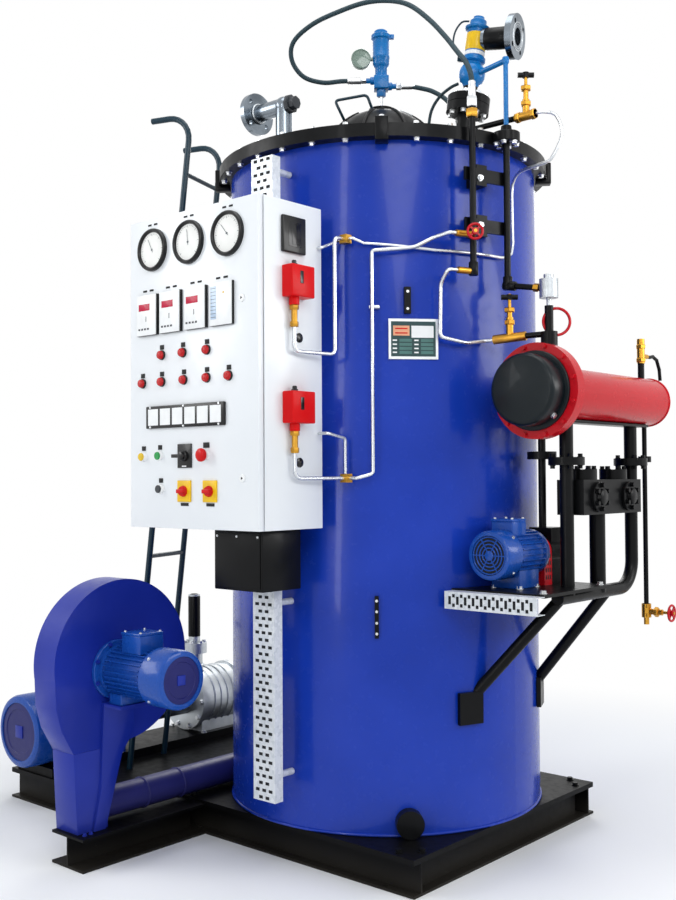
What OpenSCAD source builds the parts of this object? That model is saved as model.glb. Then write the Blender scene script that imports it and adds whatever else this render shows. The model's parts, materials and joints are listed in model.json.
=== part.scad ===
// Vertical coil boiler on a steel skid: blue round casing, front control panel,
// combustion fan, feed pump set, access ladder, oil heater on the right side.
// Units mm, +Z up, origin on the floor under the casing axis, panel faces -Y.

/* [Casing] */
// Outer radius of the round casing
shell_r = 525; // [490:5:560]
// Wall of the casing
shell_wall = 6; // [4:1:10]
// Height of the casing above the deck
shell_h = 2092; // [1950:2:2200]

/* [Skid] */
// Edge of the base frame outside the casing (negative: inside)
skid_margin = -10; // [-20:1:60]
// Height of the skid beams
beam_h = 100; // [80:2:140]
// Flange width of the skid beams
beam_w = 70; // [60:2:90]
// Flange thickness of the beams
beam_flange = 8; // [6:0.5:12]
// Web thickness of the beams
beam_web = 6; // [5:0.5:10]
// Thickness of the deck plates
deck_t = 8; // [6:1:12]
// Radius of the anchor holes
anchor_r = 9; // [6:0.5:11]
// Anchor hole centre from the skid edge
anchor_edge = 17; // [15:0.5:20]
// Anchor hole centre from the skid corner, along the beam
anchor_inset = 115; // [90:5:160]
// Width of the side skid under the pump set
side_w = 710; // [690:5:760]
// Front edge of the side skid beyond the base frame
side_front = 182; // [150:2:220]
// Back edge of the side skid behind the casing axis
side_back = 350; // [330:5:420]
// Length of the fan beam in front of the base frame
fan_beam_l = 485; // [480:5:560]
// Width of the fan beam
fan_beam_w = 160; // [150:2:180]

/* [Top rim] */
// How far the rim stands outside the casing
rim_w = 41; // [30:1:60]
// Thickness of the casing flange
body_flange_t = 18; // [12:1:26]
// Thickness of the top cover
cover_t = 22; // [14:1:30]
// Inward width of the casing flange
flange_in = 26; // [16:1:40]
// Width of a rim clamp
clamp_w = 40; // [30:2:60]
// Thickness of a rim clamp
clamp_t = 16; // [12:1:22]
// Reach of a rim clamp over the rim
clamp_reach = 28; // [20:1:36]

/* [Burner] */
// Radius of the round burner dome
dome_r = 215; // [190:5:230]
// Radius of the dome foot ring
dome_foot_r = 240; // [236:1:250]
// Thickness of the dome foot ring
dome_foot_t = 16; // [10:1:24]
// Radius of the boss on the dome
dome_boss_r = 40; // [30:1:50]
// Height of the boss top above the dome centre
dome_boss_h = 223; // [221:1:236]
// Radius of the burner rod
rod_r = 6; // [4:0.5:9]
// Length of the burner rod
rod_l = 69; // [50:1:90]
// Side of the burner block
block_w = 52; // [44:1:60]
// Height of the burner block
block_h = 46; // [40:1:60]
// Radius of the burner neck
neck_r = 21; // [16:1:25]
// Height of the burner neck
neck_h = 43; // [30:1:60]
// Radius of the burner cylinder
burner_r = 29; // [24:1:34]
// Height of the burner cylinder
burner_h = 92; // [80:1:120]
// Radius of the burner cap
burner_cap_r = 34; // [30:1:40]
// Height of the burner cap
burner_cap_h = 15; // [10:1:20]
// Length of the hose ports
port_l = 46; // [36:1:60]
// Radius of the hose ports
port_r = 9; // [8.5:0.5:12]
// Radius of the burner dial
dial_r = 35; // [28:1:42]
// Thickness of the burner dial
dial_t = 28; // [20:1:36]
// Radius of the hoses
hose_r = 8; // [6:0.5:8.5]
// Radius of the thin hose
thin_hose_r = 5; // [4:0.5:7]
// Radius of the wire handle
wire_r = 5; // [4:0.5:7]

/* [Steam outlet] */
// Radius of the steam pipe
steam_r = 30; // [26:1:34]
// Bore radius of the steam pipe
steam_bore_r = 25; // [20:0.5:25.5]
// Bulge of the steam elbow outside the pipe
elbow_bulge = 3; // [1:0.5:6]
// Height of the outlet axis above the cover
steam_rise = 274; // [240:2:320]
// Outlet flange face from the riser axis
steam_reach = 150; // [130:2:190]
// Radius of the outlet flange
steam_flange_r = 75; // [70:1:85]
// Thickness of the outlet flange
steam_flange_t = 20; // [14:1:26]
// Bolt circle radius of the outlet flange
steam_pcd_r = 55; // [48:1:60]
// Bolt hole radius of the outlet flange
steam_hole_r = 9; // [6:0.5:10]

/* [Safety valve] */
// Lean of the valve from upright
sv_lean = 7.5; // [0:0.5:10]
// Radius of the nozzle pipe
nozzle_r = 30; // [24:1:36]
// Length of the nozzle pipe
nozzle_l = 101; // [96:1:130]
// Radius of the nozzle flanges
sv_flange_r = 68; // [60:1:76]
// Thickness of one nozzle flange
sv_flange_t = 27; // [20:1:30]
// Radius of the valve body
sv_body_r = 42; // [36:1:48]
// Radius of the valve chamber
chamber_r = 32; // [29:1:36]
// Height of the valve chamber
chamber_h = 100; // [90:1:120]
// Radius of the outlet pipe
sv_out_r = 34; // [30:1:38]
// Bore radius of the outlet pipe
sv_bore_r = 27; // [22:0.5:29]
// Outlet flange face from the valve axis
sv_reach = 140; // [120:2:170]
// Radius of the outlet flange
sv_out_flange_r = 70; // [66:1:80]
// Thickness of the outlet flange
sv_out_flange_t = 20; // [14:1:26]
// Bolt circle radius of the outlet flange
sv_pcd_r = 52; // [48:1:56]
// Bolt hole radius of the outlet flange
sv_hole_r = 7.5; // [6:0.5:9]
// Turn of the outlet from the side
sv_turn = 13; // [0:1:20]

/* [Pipes on the casing] */
// Pipe axis from the casing surface
pipe_off = 65; // [56:1:80]
// Pipe radius
pipe_r = 10; // [8:0.5:12]
// Angle of the left pipe
left_pipe_a = -23.4; // [-28:0.2:-20]
// Angle of the right pipe
right_pipe_a = -10.4; // [-14:0.2:-8]
// Small tube radius
tube_r = 6; // [4:0.5:7]
// Small tube axis from the casing surface
tube_off = 14; // [12:1:20]
// Thickness of the bracket bars
bracket_t = 8; // [6:1:12]
// Height of the bracket bars
bracket_h = 40; // [30:2:60]
// Upper pipe bracket below the casing top
bracket_drop = 104; // [90:1:120]
// Spacing of the pipe brackets
bracket_pitch = 154; // [140:1:170]
// Lower end of the left pipe below the casing top
left_drop = 403; // [390:1:420]
// Stop valve below the casing top
stop_drop = 292; // [285:1:300]
// Union of the casing tube below the casing top
union_drop = 304; // [298:1:312]

/* [Hand valves] */
// Spindle radius
spindle_r = 5; // [4:0.5:7]
// Running clearance of a handle on its spindle
spindle_clear = 0.05; // [0.02:0.01:0.1]
// Hub radius of a handle
hub_r = 10; // [9:0.5:13]
// Hub length of a handle
hub_l = 16; // [12:1:20]
// Radius of a tee bar
tee_r = 8; // [6:0.5:9]
// Length of a tee bar
tee_l = 50; // [40:1:60]
// Rim radius of the small wheel
wheel_r = 22; // [20:0.5:26]
// Rim radius of the drain wheel
drain_wheel_r = 26; // [22:0.5:30]
// Wheel rim section radius
wheel_rim_r = 4; // [3:0.5:5]

/* [Control panel] */
// Panel width
panel_w = 572; // [560:2:640]
// Panel depth with its door
panel_d = 265; // [250:1:300]
// Panel height
panel_h = 953; // [940:1:1040]
// Panel bottom above the floor
panel_z = 1029; // [1025:1:1060]
// Panel right side from the casing axis
panel_right = 210; // [206:1:230]
// Panel back from the casing surface
panel_gap = 25; // [20:1:40]
// Sheet thickness of the panel box
panel_wall = 5; // [4:0.5:8]
// Door thickness
door_t = 20; // [14:1:24]
// Gap between door and box
door_gap = 5; // [5:0.5:8]
// Radius of a dial gauge
gauge_r = 66; // [56:1:72]
// Depth of a dial gauge
gauge_t = 14; // [8:1:20]
// Width of a controller as a share of the panel width
ctl_share = 0.168; // [0.15:0.001:0.175]
// Height of a controller
ctl_h = 126; // [110:1:134]
// Depth of a controller
ctl_t = 12; // [8:1:20]
// Radius of a lamp
lamp_r = 15; // [11:0.5:18]
// Depth of a lamp
lamp_t = 16; // [10:1:24]
// Width of the junction box
jbox_w = 203; // [190:1:230]
// Height of the junction box
jbox_h = 178; // [150:1:200]
// Depth of the junction box
jbox_d = 160; // [140:1:180]
// Tray width
tray_w = 90; // [70:1:110]
// Tray depth
tray_d = 34; // [28:1:50]
// Tray sheet thickness
tray_t = 2; // [1.5:0.5:4]
// Lower end of the long tray
tray_low_z = 215; // [200:5:260]
// Height of the tray above the panel
tray_top_h = 168; // [120:2:190]

/* [Ladder] */
// Rail radius
rail_r = 11; // [9:0.5:14]
// Distance between the rails
ladder_w = 240; // [220:2:260]
// Direction of the ladder from the casing axis
ladder_a = -161; // [-163:0.5:-159]
// Width of the side skid that the ladder foot leaves free
ladder_clear = 466; // [450:1:480]
// Ladder axis from the casing surface at the rim
ladder_off = 194; // [185:1:210]
// Rung radius
rung_r = 8; // [6:0.5:8.5]
// Rung spacing
rung_step = 280; // [260:2:285]
// Bend radius of the hand hooks
hook_r = 80; // [60:1:100]
// Straight end of the hand hooks
hook_l = 75; // [50:1:100]

/* [Fan] */
// Fan casing radius
fan_r = 254; // [244:1:262]
// Fan casing width
fan_w = 110; // [100:1:118]
// Fan axis height
fan_z = 584; // [574:2:610]
// Fan axis in front of the casing axis
fan_y = 841; // [831:1:850]
// Fan motor radius
fan_motor_r = 84; // [74:1:88]
// Fan motor length
fan_motor_l = 318; // [300:2:330]
// Air duct radius
duct_r = 47; // [38:1:48]
// Air duct axis height
duct_z = 158; // [157:1:170]

/* [Feed pump] */
// Feed motor radius
feed_motor_r = 130; // [110:1:134]
// Feed motor axis height
feed_z = 270; // [268:1:290]
// Feed motor length
feed_motor_l = 470; // [450:2:500]
// Feed pump casing radius
pump_r = 118; // [100:1:124]
// Feed pump casing length
pump_l = 250; // [220:2:280]
// Height of the pump base
pump_base_h = 32; // [24:1:36]
// Air vessel radius
vessel_r = 24; // [18:1:28]
// Air vessel length
vessel_l = 200; // [160:2:240]

/* [Oil heater] */
// Heater axis from the casing surface
heater_off = 191; // [180:1:215]
// Heater axis below the casing top
heater_drop = 770; // [750:2:790]
// Heater body radius
heater_r = 80; // [70:1:86]
// Heater body length
heater_l = 700; // [690:2:760]
// Heater flange radius
heater_flange_r = 142; // [130:1:150]
// Heater flange thickness
heater_flange_t = 40; // [30:1:50]
// Heater cap radius
heater_cap_r = 106; // [96:1:115]
// Heater cap length
heater_cap_l = 78; // [66:1:95]
// Post radius
post_r = 21; // [17:0.5:24]
// Frame rail below the heater axis
frame_drop = 618; // [606:2:630]
// Frame bend radius
frame_bend = 90; // [76:1:110]
// Platform thickness
platform_t = 10; // [6:1:14]
// Oil motor radius
oil_motor_r = 70; // [62:1:74]
// Oil motor length
oil_motor_l = 240; // [220:2:250]
// Radius of the drain pipe
drain_r = 8; // [6:0.5:10]

/* [Hidden] */
$fn = 64;

// Seat gap between a flat-backed piece and a round one
seat = 0.4;
eps = 0.01;

skid_half = shell_r + skid_margin;
deck_z = beam_h + deck_t;
shell_top = deck_z + shell_h;
cover_z = shell_top + body_flange_t;
cover_top = cover_z + cover_t;
rim_r = shell_r + rim_w;
heater_z = shell_top - heater_drop;
frame_z = heater_z - frame_drop;
over = [0, 0, cover_top];
side_x0 = -skid_half - side_w;
side_y0 = -skid_half - side_front;
fan_beam_x = -skid_half + fan_beam_w / 2;
fan_beam_y0 = -skid_half - fan_beam_l;
anchor_x = skid_half - anchor_inset;
anchor_y = skid_half - anchor_edge;

// View direction of the leaning pieces on the cover
lean_a = 41.4;
dome_boss_z = cover_top + 7 + dome_boss_h;
block_z = dome_boss_z + rod_l;
neck_z = block_z + block_h;
burner_z = neck_z + neck_h;
cap_z = burner_z + burner_h;
port_low_z = block_z + 13;
port_high_z = block_z + block_h - 13;

sv_x = shell_r - 120;
sv_y = -85;
valve_flange_h = nozzle_l + sv_flange_t;
sv_neck_h = valve_flange_h + sv_flange_t;
sv_body_h = sv_neck_h + 50;
chamber_z = sv_body_h + 78;
sv_cap_z = chamber_z + chamber_h;
sv_out_h = chamber_z + 60;

steam_x = 209 - shell_r;
steam_y = -165;
steam_z = cover_top + steam_rise;

panel_yb = -(shell_r + panel_gap);
panel_yf = panel_yb - panel_d;
panel_left = panel_right - panel_w;
panel_top = panel_z + panel_h;
door_yb = panel_yf + door_t;
box_yf = door_yb + door_gap;
hinge_x = panel_left - 12;
hinge_y = (door_yb + box_yf) / 2;
hinge_z = [panel_z + 160, panel_top - 160];
hinge_r = 6;
hinge_pin_r = 4;
hinge_l = 32;
jbox_x1 = panel_right - 42;
jbox_y1 = panel_yb - 50;
tray_x0 = panel_left + 0.65 * panel_w;
ctl_w = ctl_share * panel_w;
tray_y1 = panel_yb - 61;
// Heights of the pins that hold the trays to the casing
tray_pins = [tray_low_z + 65, panel_z - jbox_h - 51];
top_pin_z = panel_top + tray_top_h - 30;
top_pins = top_pin_z < shell_top - 20 ? [top_pin_z] : [];

stand_t = 12;
fan_x1 = fan_beam_x - fan_beam_w / 2 + fan_w;
fan_x0 = fan_x1 - fan_w;

feed_x = side_x0 + 140;
feed_y0 = side_y0 - 63;
pump_y0 = feed_y0 + feed_motor_l + 305;

heater_x = shell_r + heater_off;
heater_y0 = -140;
post_y = [0, 425];
motor_x = heater_x - 120;
motor_z = frame_z + 134;
platform_z = frame_z + post_r;
motor_y0 = -250;
drain_y = 530;

function unit(v) = v / norm(v);
function polar(r, a, z) = [r * cos(a), r * sin(a), z];
function on_shell(a, z, off) = polar(shell_r + off, a, z);
function tang(p, i) = i == 0 ? unit(p[1] - p[0])
    : i == len(p) - 1 ? unit(p[i] - p[i - 1]) : unit(p[i + 1] - p[i - 1]);
function side_of(t) = unit(abs(t[2]) < 0.9 ? cross(t, [0, 0, 1]) : cross(t, [1, 0, 0]));
function frames(p, i = 0, n = [1, 0, 0]) = i == len(p) ? []
    : let (t = tang(p, i), m = i == 0 ? side_of(t) : unit(n - (n * t) * t)) concat([m],
        frames(p, i + 1, m));
function rounded(p, d, n = 4) =
    concat([p[0]], [for (i = [1 : len(p) - 2]) let (a = unit(p[i - 1] - p[i]), b = unit(p[i + 1] - p[i]))
        for (k = [0 : n]) let (t = k / n)
            (1 - t) * (1 - t) * (p[i] + d * a) + 2 * t * (1 - t) * p[i] + t * t * (p[i] + d * b)],
    [p[len(p) - 1]]);
function blend(a, b, c, d, t) = 0.5 * (2 * b + (c - a) * t + (2 * a - 5 * b + 4 * c - d) * t * t
    + (3 * b - a - 3 * c + d) * t * t * t);
function smooth(p, n) = concat([for (i = [0 : len(p) - 2]) for (k = [0 : n - 1])
    blend(p[max(i - 1, 0)], p[i], p[i + 1], p[min(i + 2, len(p) - 1)], k / n)], [p[len(p) - 1]]);

// Round tube along a list of points
module sweep(p, r, sides = 10) {
    n = frames(p);
    pts = [for (i = [0 : len(p) - 1]) let (t = tang(p, i), b = cross(t, n[i])) for (k = [0 : sides - 1])
        p[i] + r * (cos(360 * k / sides) * n[i] + sin(360 * k / sides) * b)];
    skin = [for (i = [0 : len(p) - 2]) for (k = [0 : sides - 1]) let (m = (k + 1) % sides)
        [i * sides + k, (i + 1) * sides + k, (i + 1) * sides + m, i * sides + m]];
    low = [for (k = [0 : sides - 1]) k];
    high = [for (k = [0 : sides - 1]) len(p) * sides - 1 - k];
    polyhedron(points = pts, faces = concat(skin, [low, high]), convexity = 6);
}

module box(x0, x1, y0, y1, z0, z1) { translate([x0, y0, z0]) cube([x1 - x0, y1 - y0, z1 - z0]); }
module xcyl(x0, x1, y, z, r) { translate([x0, y, z]) rotate([0, 90, 0]) cylinder(h = x1 - x0, r = r); }
module ycyl(x, y0, y1, z, r) { translate([x, y0, z]) rotate([-90, 0, 0]) cylinder(h = y1 - y0, r = r); }
module zcyl(x, y, z0, z1, r) { translate([x, y, z0])
    cylinder(h = z1 - z0, r = r, $fn = r > 300 ? 192 : $fn); }
module rod(a, b, r) {
    d = b - a;
    h = norm(d);
    translate(a) rotate([0, acos(d[2] / h), atan2(d[1], d[0])]) cylinder(h = h, r = r);
}
module i_section(w) {
    polygon([[-w / 2, 0], [w / 2, 0], [w / 2, beam_flange], [beam_web / 2, beam_flange],
        [beam_web / 2, beam_h - beam_flange], [w / 2, beam_h - beam_flange], [w / 2, beam_h],
            [-w / 2, beam_h],
        [-w / 2, beam_h - beam_flange], [-beam_web / 2, beam_h - beam_flange], [-beam_web / 2, beam_flange],
        [-w / 2, beam_flange]]);
}
module beam_x(x0, x1, y, w) { translate([x0, y, 0])
    rotate([90, 0, 90]) linear_extrude(x1 - x0) i_section(w); }
module beam_y(x, y0, y1, w) { translate([x, y1, 0])
    rotate([90, 0, 0]) linear_extrude(y1 - y0) i_section(w); }
module at_shell(a, z) { rotate([0, 0, a]) translate([shell_r + seat, 0, z]) children(); }
module sv_frame() {
    translate([sv_x, sv_y, cover_top]) rotate([0, 0, lean_a]) rotate([0, sv_lean, 0])
        rotate([0, 0, -lean_a])
        children();
}

// Beams of the square base frame, with the anchor holes
weld = 0.5;
module boiler_skid() color([0.06, 0.06, 0.07]) {
    in = skid_half - beam_w / 2;
    cross = skid_half - beam_w - weld;
    for (s = [-1, 1]) difference() {
        beam_x(-skid_half, skid_half, s * in, beam_w);
        for (sx = [-1, 1]) zcyl(sx * anchor_x, s * anchor_y, -1, beam_flange + 1, anchor_r);
    }
    for (x = [-in, 0, in]) beam_y(x, -cross, cross, beam_w);
}

// Beams of the side skid and the beam that carries the fan
module side_skid() color([0.06, 0.06, 0.07]) {
    cross0 = side_y0 + beam_w + weld;
    cross1 = side_back - beam_w - weld;
    beam_y(fan_beam_x, fan_beam_y0, -skid_half, fan_beam_w);
    for (y = [side_y0 + beam_w / 2, side_back - beam_w / 2]) beam_x(side_x0, -skid_half - weld, y, beam_w);
    for (x = [side_x0 + beam_w / 2, feed_x + 190]) beam_y(x, cross0, cross1, beam_w);
}

// Deck plates on the two skids
module deck_plates() color([0.07, 0.07, 0.08]) {
    box(-skid_half, skid_half, -skid_half, skid_half, beam_h, deck_z);
    box(side_x0, -skid_half - weld, side_y0, side_back, beam_h, deck_z);
}

// Round casing
module shell() color([0.08, 0.10, 0.62]) difference() {
    zcyl(0, 0, deck_z, shell_top, shell_r);
    zcyl(0, 0, deck_z - 1, shell_top + 1, shell_r - shell_wall);
}

// Ring flange on the casing
module body_flange() color([0.05, 0.05, 0.06]) difference() {
    zcyl(0, 0, shell_top, cover_z, rim_r);
    zcyl(0, 0, shell_top - 1, cover_z + 1, shell_r - flange_in);
}

// Flat top cover with two hose stubs
module top_cover() color([0.05, 0.05, 0.06]) {
    zcyl(0, 0, cover_z, cover_top, rim_r);
    zcyl(return_end[0], return_end[1], cover_top - eps, return_end[2] - 0.3, 12);
    zcyl(valve_from[0], valve_from[1], cover_top - eps, valve_from[2] - 0.3, 9);
}

// Four clamps that hold the cover down
module rim_clamps() color([0.05, 0.05, 0.06]) for (a = [-51, 35, 129, -139]) rotate([0, 0, a]) {
    reach = rim_r - clamp_reach;
    back = rim_r + 1;
    translate([0, -clamp_w / 2, 0]) {
        box(back, back + clamp_t, 0, clamp_w, shell_top - clamp_t, cover_top + clamp_t);
        box(reach, back + eps, 0, clamp_w, cover_top, cover_top + clamp_t);
        box(shell_r + 6, back + eps, 0, clamp_w, shell_top - clamp_t, shell_top);
    }
}

// Round dome of the burner with its foot ring and boss
dome_lift = 7;
module burner_dome() color([0.07, 0.07, 0.08]) {
    zcyl(0, 0, cover_top, cover_top + dome_foot_t, dome_foot_r);
    intersection() {
        translate([0, 0, cover_top + dome_lift]) sphere(r = dome_r, $fn = 96);
        zcyl(0, 0, cover_top, cover_top + dome_lift + dome_r + 1, dome_r + 1);
    }
    zcyl(0, 0, cover_top + dome_r - 40, dome_boss_z, dome_boss_r);
}

// Wire lifting handle on the dome, standing across the view
handle_path = [[-118, -48, 150], [-163, -48, 246], [-52, -48, 266], [-24, -48, 190]];
module dome_handle() color([0.10, 0.30, 0.42]) rotate([0, 0, lean_a]) translate([0, 0, cover_top])
    difference() {
        sweep(rounded(handle_path, 14), wire_r, 10);
        translate([0, 0, dome_lift]) sphere(r = dome_r + seat, $fn = 96);
    }

// Blue burner unit on its rod
module burner_unit() color([0.06, 0.40, 0.78]) rotate([0, 0, lean_a]) {
    zcyl(0, 0, dome_boss_z, block_z, rod_r);
    zcyl(0, 0, block_z - 24, block_z + eps, 14);
    box(-block_w / 2, block_w / 2, -block_w / 2, block_w / 2, block_z, neck_z);
    zcyl(0, 0, neck_z - eps, burner_z + eps, neck_r);
    zcyl(0, 0, burner_z, cap_z + eps, burner_r);
    zcyl(0, 0, cap_z, cap_z + burner_cap_h, burner_cap_r);
    zcyl(0, 0, cap_z, cap_z + burner_cap_h + 14, burner_cap_r - 10);
    box(burner_cap_r - 6, burner_cap_r + 12, -8, 8, cap_z, cap_z + burner_cap_h);
    xcyl(-block_w / 2 - port_l, -block_w / 2 + eps, 0, port_high_z, port_r);
    xcyl(block_w / 2 - eps, block_w / 2 + port_l, 0, port_low_z, port_r);
}

// Dial on the left of the burner unit
module burner_dial() color([0.55, 0.60, 0.58]) rotate([0, 0, lean_a]) {
    dial_z = burner_z + 20;
    dial_x = -burner_r - seat - dial_r - 6;
    ycyl(dial_x, -dial_t / 2, dial_t / 2, dial_z, dial_r);
    xcyl(dial_x, -burner_r - seat, 0, dial_z, 7);
}

left_pipe = polar(shell_r + pipe_off, left_pipe_a, 0);
right_pipe = polar(shell_r + pipe_off, right_pipe_a, 0);

// Routes of the free hoses, from fitting to fitting
port_dir = [cos(lean_a), sin(lean_a), 0];
port_step = block_w / 2 + port_l + 0.3;
oil_from = [0, 0, port_high_z] - port_step * port_dir;
return_from = [0, 0, port_low_z] + port_step * port_dir;
straight = 25;
hose_end = [left_pipe[0], left_pipe[1], cover_top + 100];
return_end = over + [245, 122, 30];
valve_from = over + [264, -80, 30];
oil_path = concat([oil_from, oil_from - straight * port_dir],
    [for (q = [[-106, -93, 331.5], [-150, -140, 325], [-191, -195, 341], [-207, -236, 390],
        [-182, -254, 444], [-98, -245, 486], [10, -218, 510], [100, -200, 516], [185, -184, 502],
        [265, -180, 465], [345, -184, 395], [415, -193, 318], [472, -210, 250], [512, -225, 205],
        [534, -232, 165]]) over + q],
    [hose_end + [0, 0, 32], hose_end]);
return_path = concat([return_from, return_from + straight * port_dir],
    [for (q = [[110, 86, 302], [150, 104, 285], [200, 116, 245], [235, 122, 185],
        [245, 122, 115]]) over + q],
    [return_end]);
valve_path = concat([valve_from],
    [for (q = [[264, -79, 90], [274, -76, 145], [304, -72, 184], [345, -68, 206],
        [374, -66, 212]]) over + q]);

// Braided oil hose looping over the burner to the left pipe
module oil_hose() color([0.05, 0.16, 0.18])
    sweep(smooth(oil_path, 3), hose_r, 10);

// Return hose from the burner to the cover
module return_hose() color([0.05, 0.16, 0.18])
    sweep(smooth(return_path, 2), hose_r, 10);

// Thin hose from the cover to the safety valve
module valve_hose() color([0.05, 0.10, 0.12]) sweep(smooth(valve_path, 3), thin_hose_r, 10);

// Steam riser, elbow and outlet flange
module steam_outlet() color([0.72, 0.74, 0.76]) {
    face = steam_x - steam_reach;
    difference() {
        union() {
            zcyl(steam_x, steam_y, cover_top, steam_z, steam_r);
            translate([steam_x, steam_y, steam_z]) sphere(r = steam_r + elbow_bulge);
            xcyl(face, steam_x, steam_y, steam_z, steam_r);
            xcyl(face, face + steam_flange_t, steam_y, steam_z, steam_flange_r);
        }
        xcyl(face - 1, steam_x, steam_y, steam_z, steam_bore_r);
        for (k = [0 : 3]) translate([0, steam_pcd_r * cos(45 + 90 * k), steam_pcd_r * sin(45 + 90 * k)])
            xcyl(face - 1, face + steam_flange_t + 1, steam_y, steam_z, steam_hole_r);
    }
}

// Nozzle of the safety valve with its lower flange
module valve_nozzle() color([0.05, 0.05, 0.06]) difference() {
    sv_frame() {
        zcyl(0, 0, -20, nozzle_l + eps, nozzle_r);
        zcyl(0, 0, nozzle_l, valve_flange_h, sv_flange_r);
    }
    box(sv_x - 90, sv_x + 90, sv_y - 90, sv_y + 90, cover_top - 60, cover_top);
}

// Safety valve: flange, neck, body, chamber and cap
module safety_valve() color([0.07, 0.34, 0.75]) sv_frame() {
    zcyl(0, 0, valve_flange_h, sv_neck_h, sv_flange_r);
    zcyl(0, 0, sv_neck_h - eps, sv_body_h + eps, 23);
    zcyl(0, 0, sv_body_h, sv_body_h + 52, sv_body_r);
    zcyl(0, 0, sv_body_h + 52 - eps, chamber_z + eps, 27);
    zcyl(0, 0, chamber_z - 14, chamber_z + eps, chamber_r + 5);
    zcyl(0, 0, chamber_z, sv_cap_z + eps, chamber_r);
    zcyl(0, 0, sv_cap_z - 8, sv_cap_z, chamber_r + 8);
    zcyl(0, 0, sv_cap_z - eps, sv_cap_z + 24, 27);
    zcyl(0, 0, sv_cap_z + 24 - eps, sv_cap_z + 34, 18);
}

// Outlet pipe and flange of the safety valve
module valve_outlet() color([0.60, 0.63, 0.66]) sv_frame() rotate([0, 0, sv_turn]) difference() {
    union() {
        xcyl(chamber_r - 6, sv_reach, 0, sv_out_h, sv_out_r);
        xcyl(sv_reach - sv_out_flange_t, sv_reach, 0, sv_out_h, sv_out_flange_r);
    }
    zcyl(0, 0, chamber_z - 80, sv_cap_z - 8, chamber_r + seat);
    zcyl(0, 0, chamber_z - 80, chamber_z + 2, chamber_r + 5 + seat);
    zcyl(0, 0, sv_cap_z - 8 - seat, sv_cap_z + 80, chamber_r + 8 + seat);
    xcyl(chamber_r + 20, sv_reach + 1, 0, sv_out_h, sv_bore_r);
    for (k = [0 : 3]) translate([0, sv_pcd_r * cos(45 + 90 * k), sv_pcd_r * sin(45 + 90 * k)])
        xcyl(sv_reach - sv_out_flange_t - 1, sv_reach + 1, 0, sv_out_h, sv_hole_r);
}

// Two upright pipes on the casing with their elbows
sv_port = [sv_x + 225 * sin(sv_lean) * cos(lean_a), sv_y + 225 * sin(sv_lean) * sin(lean_a),
    cover_top + 225 * cos(sv_lean)];
left_low_z = shell_top - left_drop;
inlet_z = heater_z + 312;
inlet_r = 28;
oil_nozzle = [heater_x, -94];
module oil_pipes() color([0.04, 0.05, 0.06]) {
    low_l = [left_pipe[0], left_pipe[1], left_low_z];
    zcyl(left_pipe[0], left_pipe[1], left_low_z, cover_top + 26, pipe_r);
    translate(low_l) sphere(r = pipe_r + 3);
    zcyl(left_pipe[0], left_pipe[1], cover_top + 26 - eps, cover_top + 46, pipe_r + 3);
    zcyl(left_pipe[0], left_pipe[1], cover_top + 46 - eps, hose_end[2] - 0.3, hose_r + 3);
    top_r = [right_pipe[0], right_pipe[1], sv_port[2]];
    low_r = [right_pipe[0], right_pipe[1], inlet_z + 23];
    rim_point = [right_pipe[0], right_pipe[1], cover_top + 20];
    to_valve = unit(top_r - sv_port);
    difference() {
        union() {
            rod(low_r, rim_point, pipe_r);
            rod(rim_point - [0, 0, eps], top_r, pipe_r - 3);
            translate(top_r) sphere(r = pipe_r);
            translate(low_r) sphere(r = pipe_r + 3);
            rod(top_r, sv_port + (sv_body_r + 1.5) * to_valve, pipe_r - 2);
            rod(low_r, [oil_nozzle[0], oil_nozzle[1], inlet_z], pipe_r - 1);
        }
        zcyl(oil_nozzle[0], oil_nozzle[1], inlet_z - 40, inlet_z + 40, inlet_r + seat);
    }
}

// Brackets on the casing: for the pipes, the panel and the ladder
chord = right_pipe - left_pipe;
chord_a = atan2(chord[1], chord[0]);
chord_x = -(left_pipe[0] * cos(chord_a) + left_pipe[1] * sin(chord_a));
chord_d = left_pipe[0] * sin(chord_a) - left_pipe[1] * cos(chord_a);
leg = [24, 64];
leg_near = chord_x < leg[0] ? leg[0] - chord_x : chord_x > leg[1] ? chord_x - leg[1] : 0;
leg_end = chord_d - sqrt(shell_r * shell_r - leg_near * leg_near) - seat;
panel_bar_x = 160;
bracket_z = shell_top - bracket_drop;
ladder_x0 = shell_r + ladder_off;
ladder_top_z = cover_top + 60;
ladder_bend_z = cover_top + 133;
ladder_run = side_w - ladder_clear;
ladder_slope = atan(ladder_run / (ladder_top_z - deck_z));
function ladder_x(z) = ladder_x0 + (ladder_top_z - z) * tan(ladder_slope);
module shell_brackets() color([0.05, 0.05, 0.06]) {
    for (k = [0, 1]) translate([left_pipe[0], left_pipe[1], bracket_z - k * bracket_pitch])
        rotate([0, 0, chord_a]) {
        box(-20, norm(chord) + 14, pipe_r + seat, pipe_r + seat + bracket_t, -bracket_h / 2, bracket_h / 2);
        box(leg[0], leg[1], pipe_r + seat, leg_end, -bracket_h / 2 - 12, bracket_h / 2 + 12);
    }
    for (z = [panel_z + 130, min(panel_top, shell_top) - 130]) difference() {
        box(-panel_bar_x, panel_bar_x, panel_yb, -sqrt(shell_r * shell_r - panel_bar_x * panel_bar_x),
            z - 25, z + 25);
        zcyl(0, 0, z - 30, z + 30, shell_r + seat);
    }
    for (z = [shell_top - 80, shell_top - 780], s = [-1, 1]) rotate([0, 0, ladder_a]) {
        stay_y = s * ladder_w / 2;
        stay_x = ladder_x(z) - rail_r / cos(ladder_slope) - seat - 2;
        box(sqrt(shell_r * shell_r - pow(ladder_w / 2 - 6, 2)) + seat, stay_x, stay_y - 6, stay_y + 6,
            z - 18, z + 18);
    }
}

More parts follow.
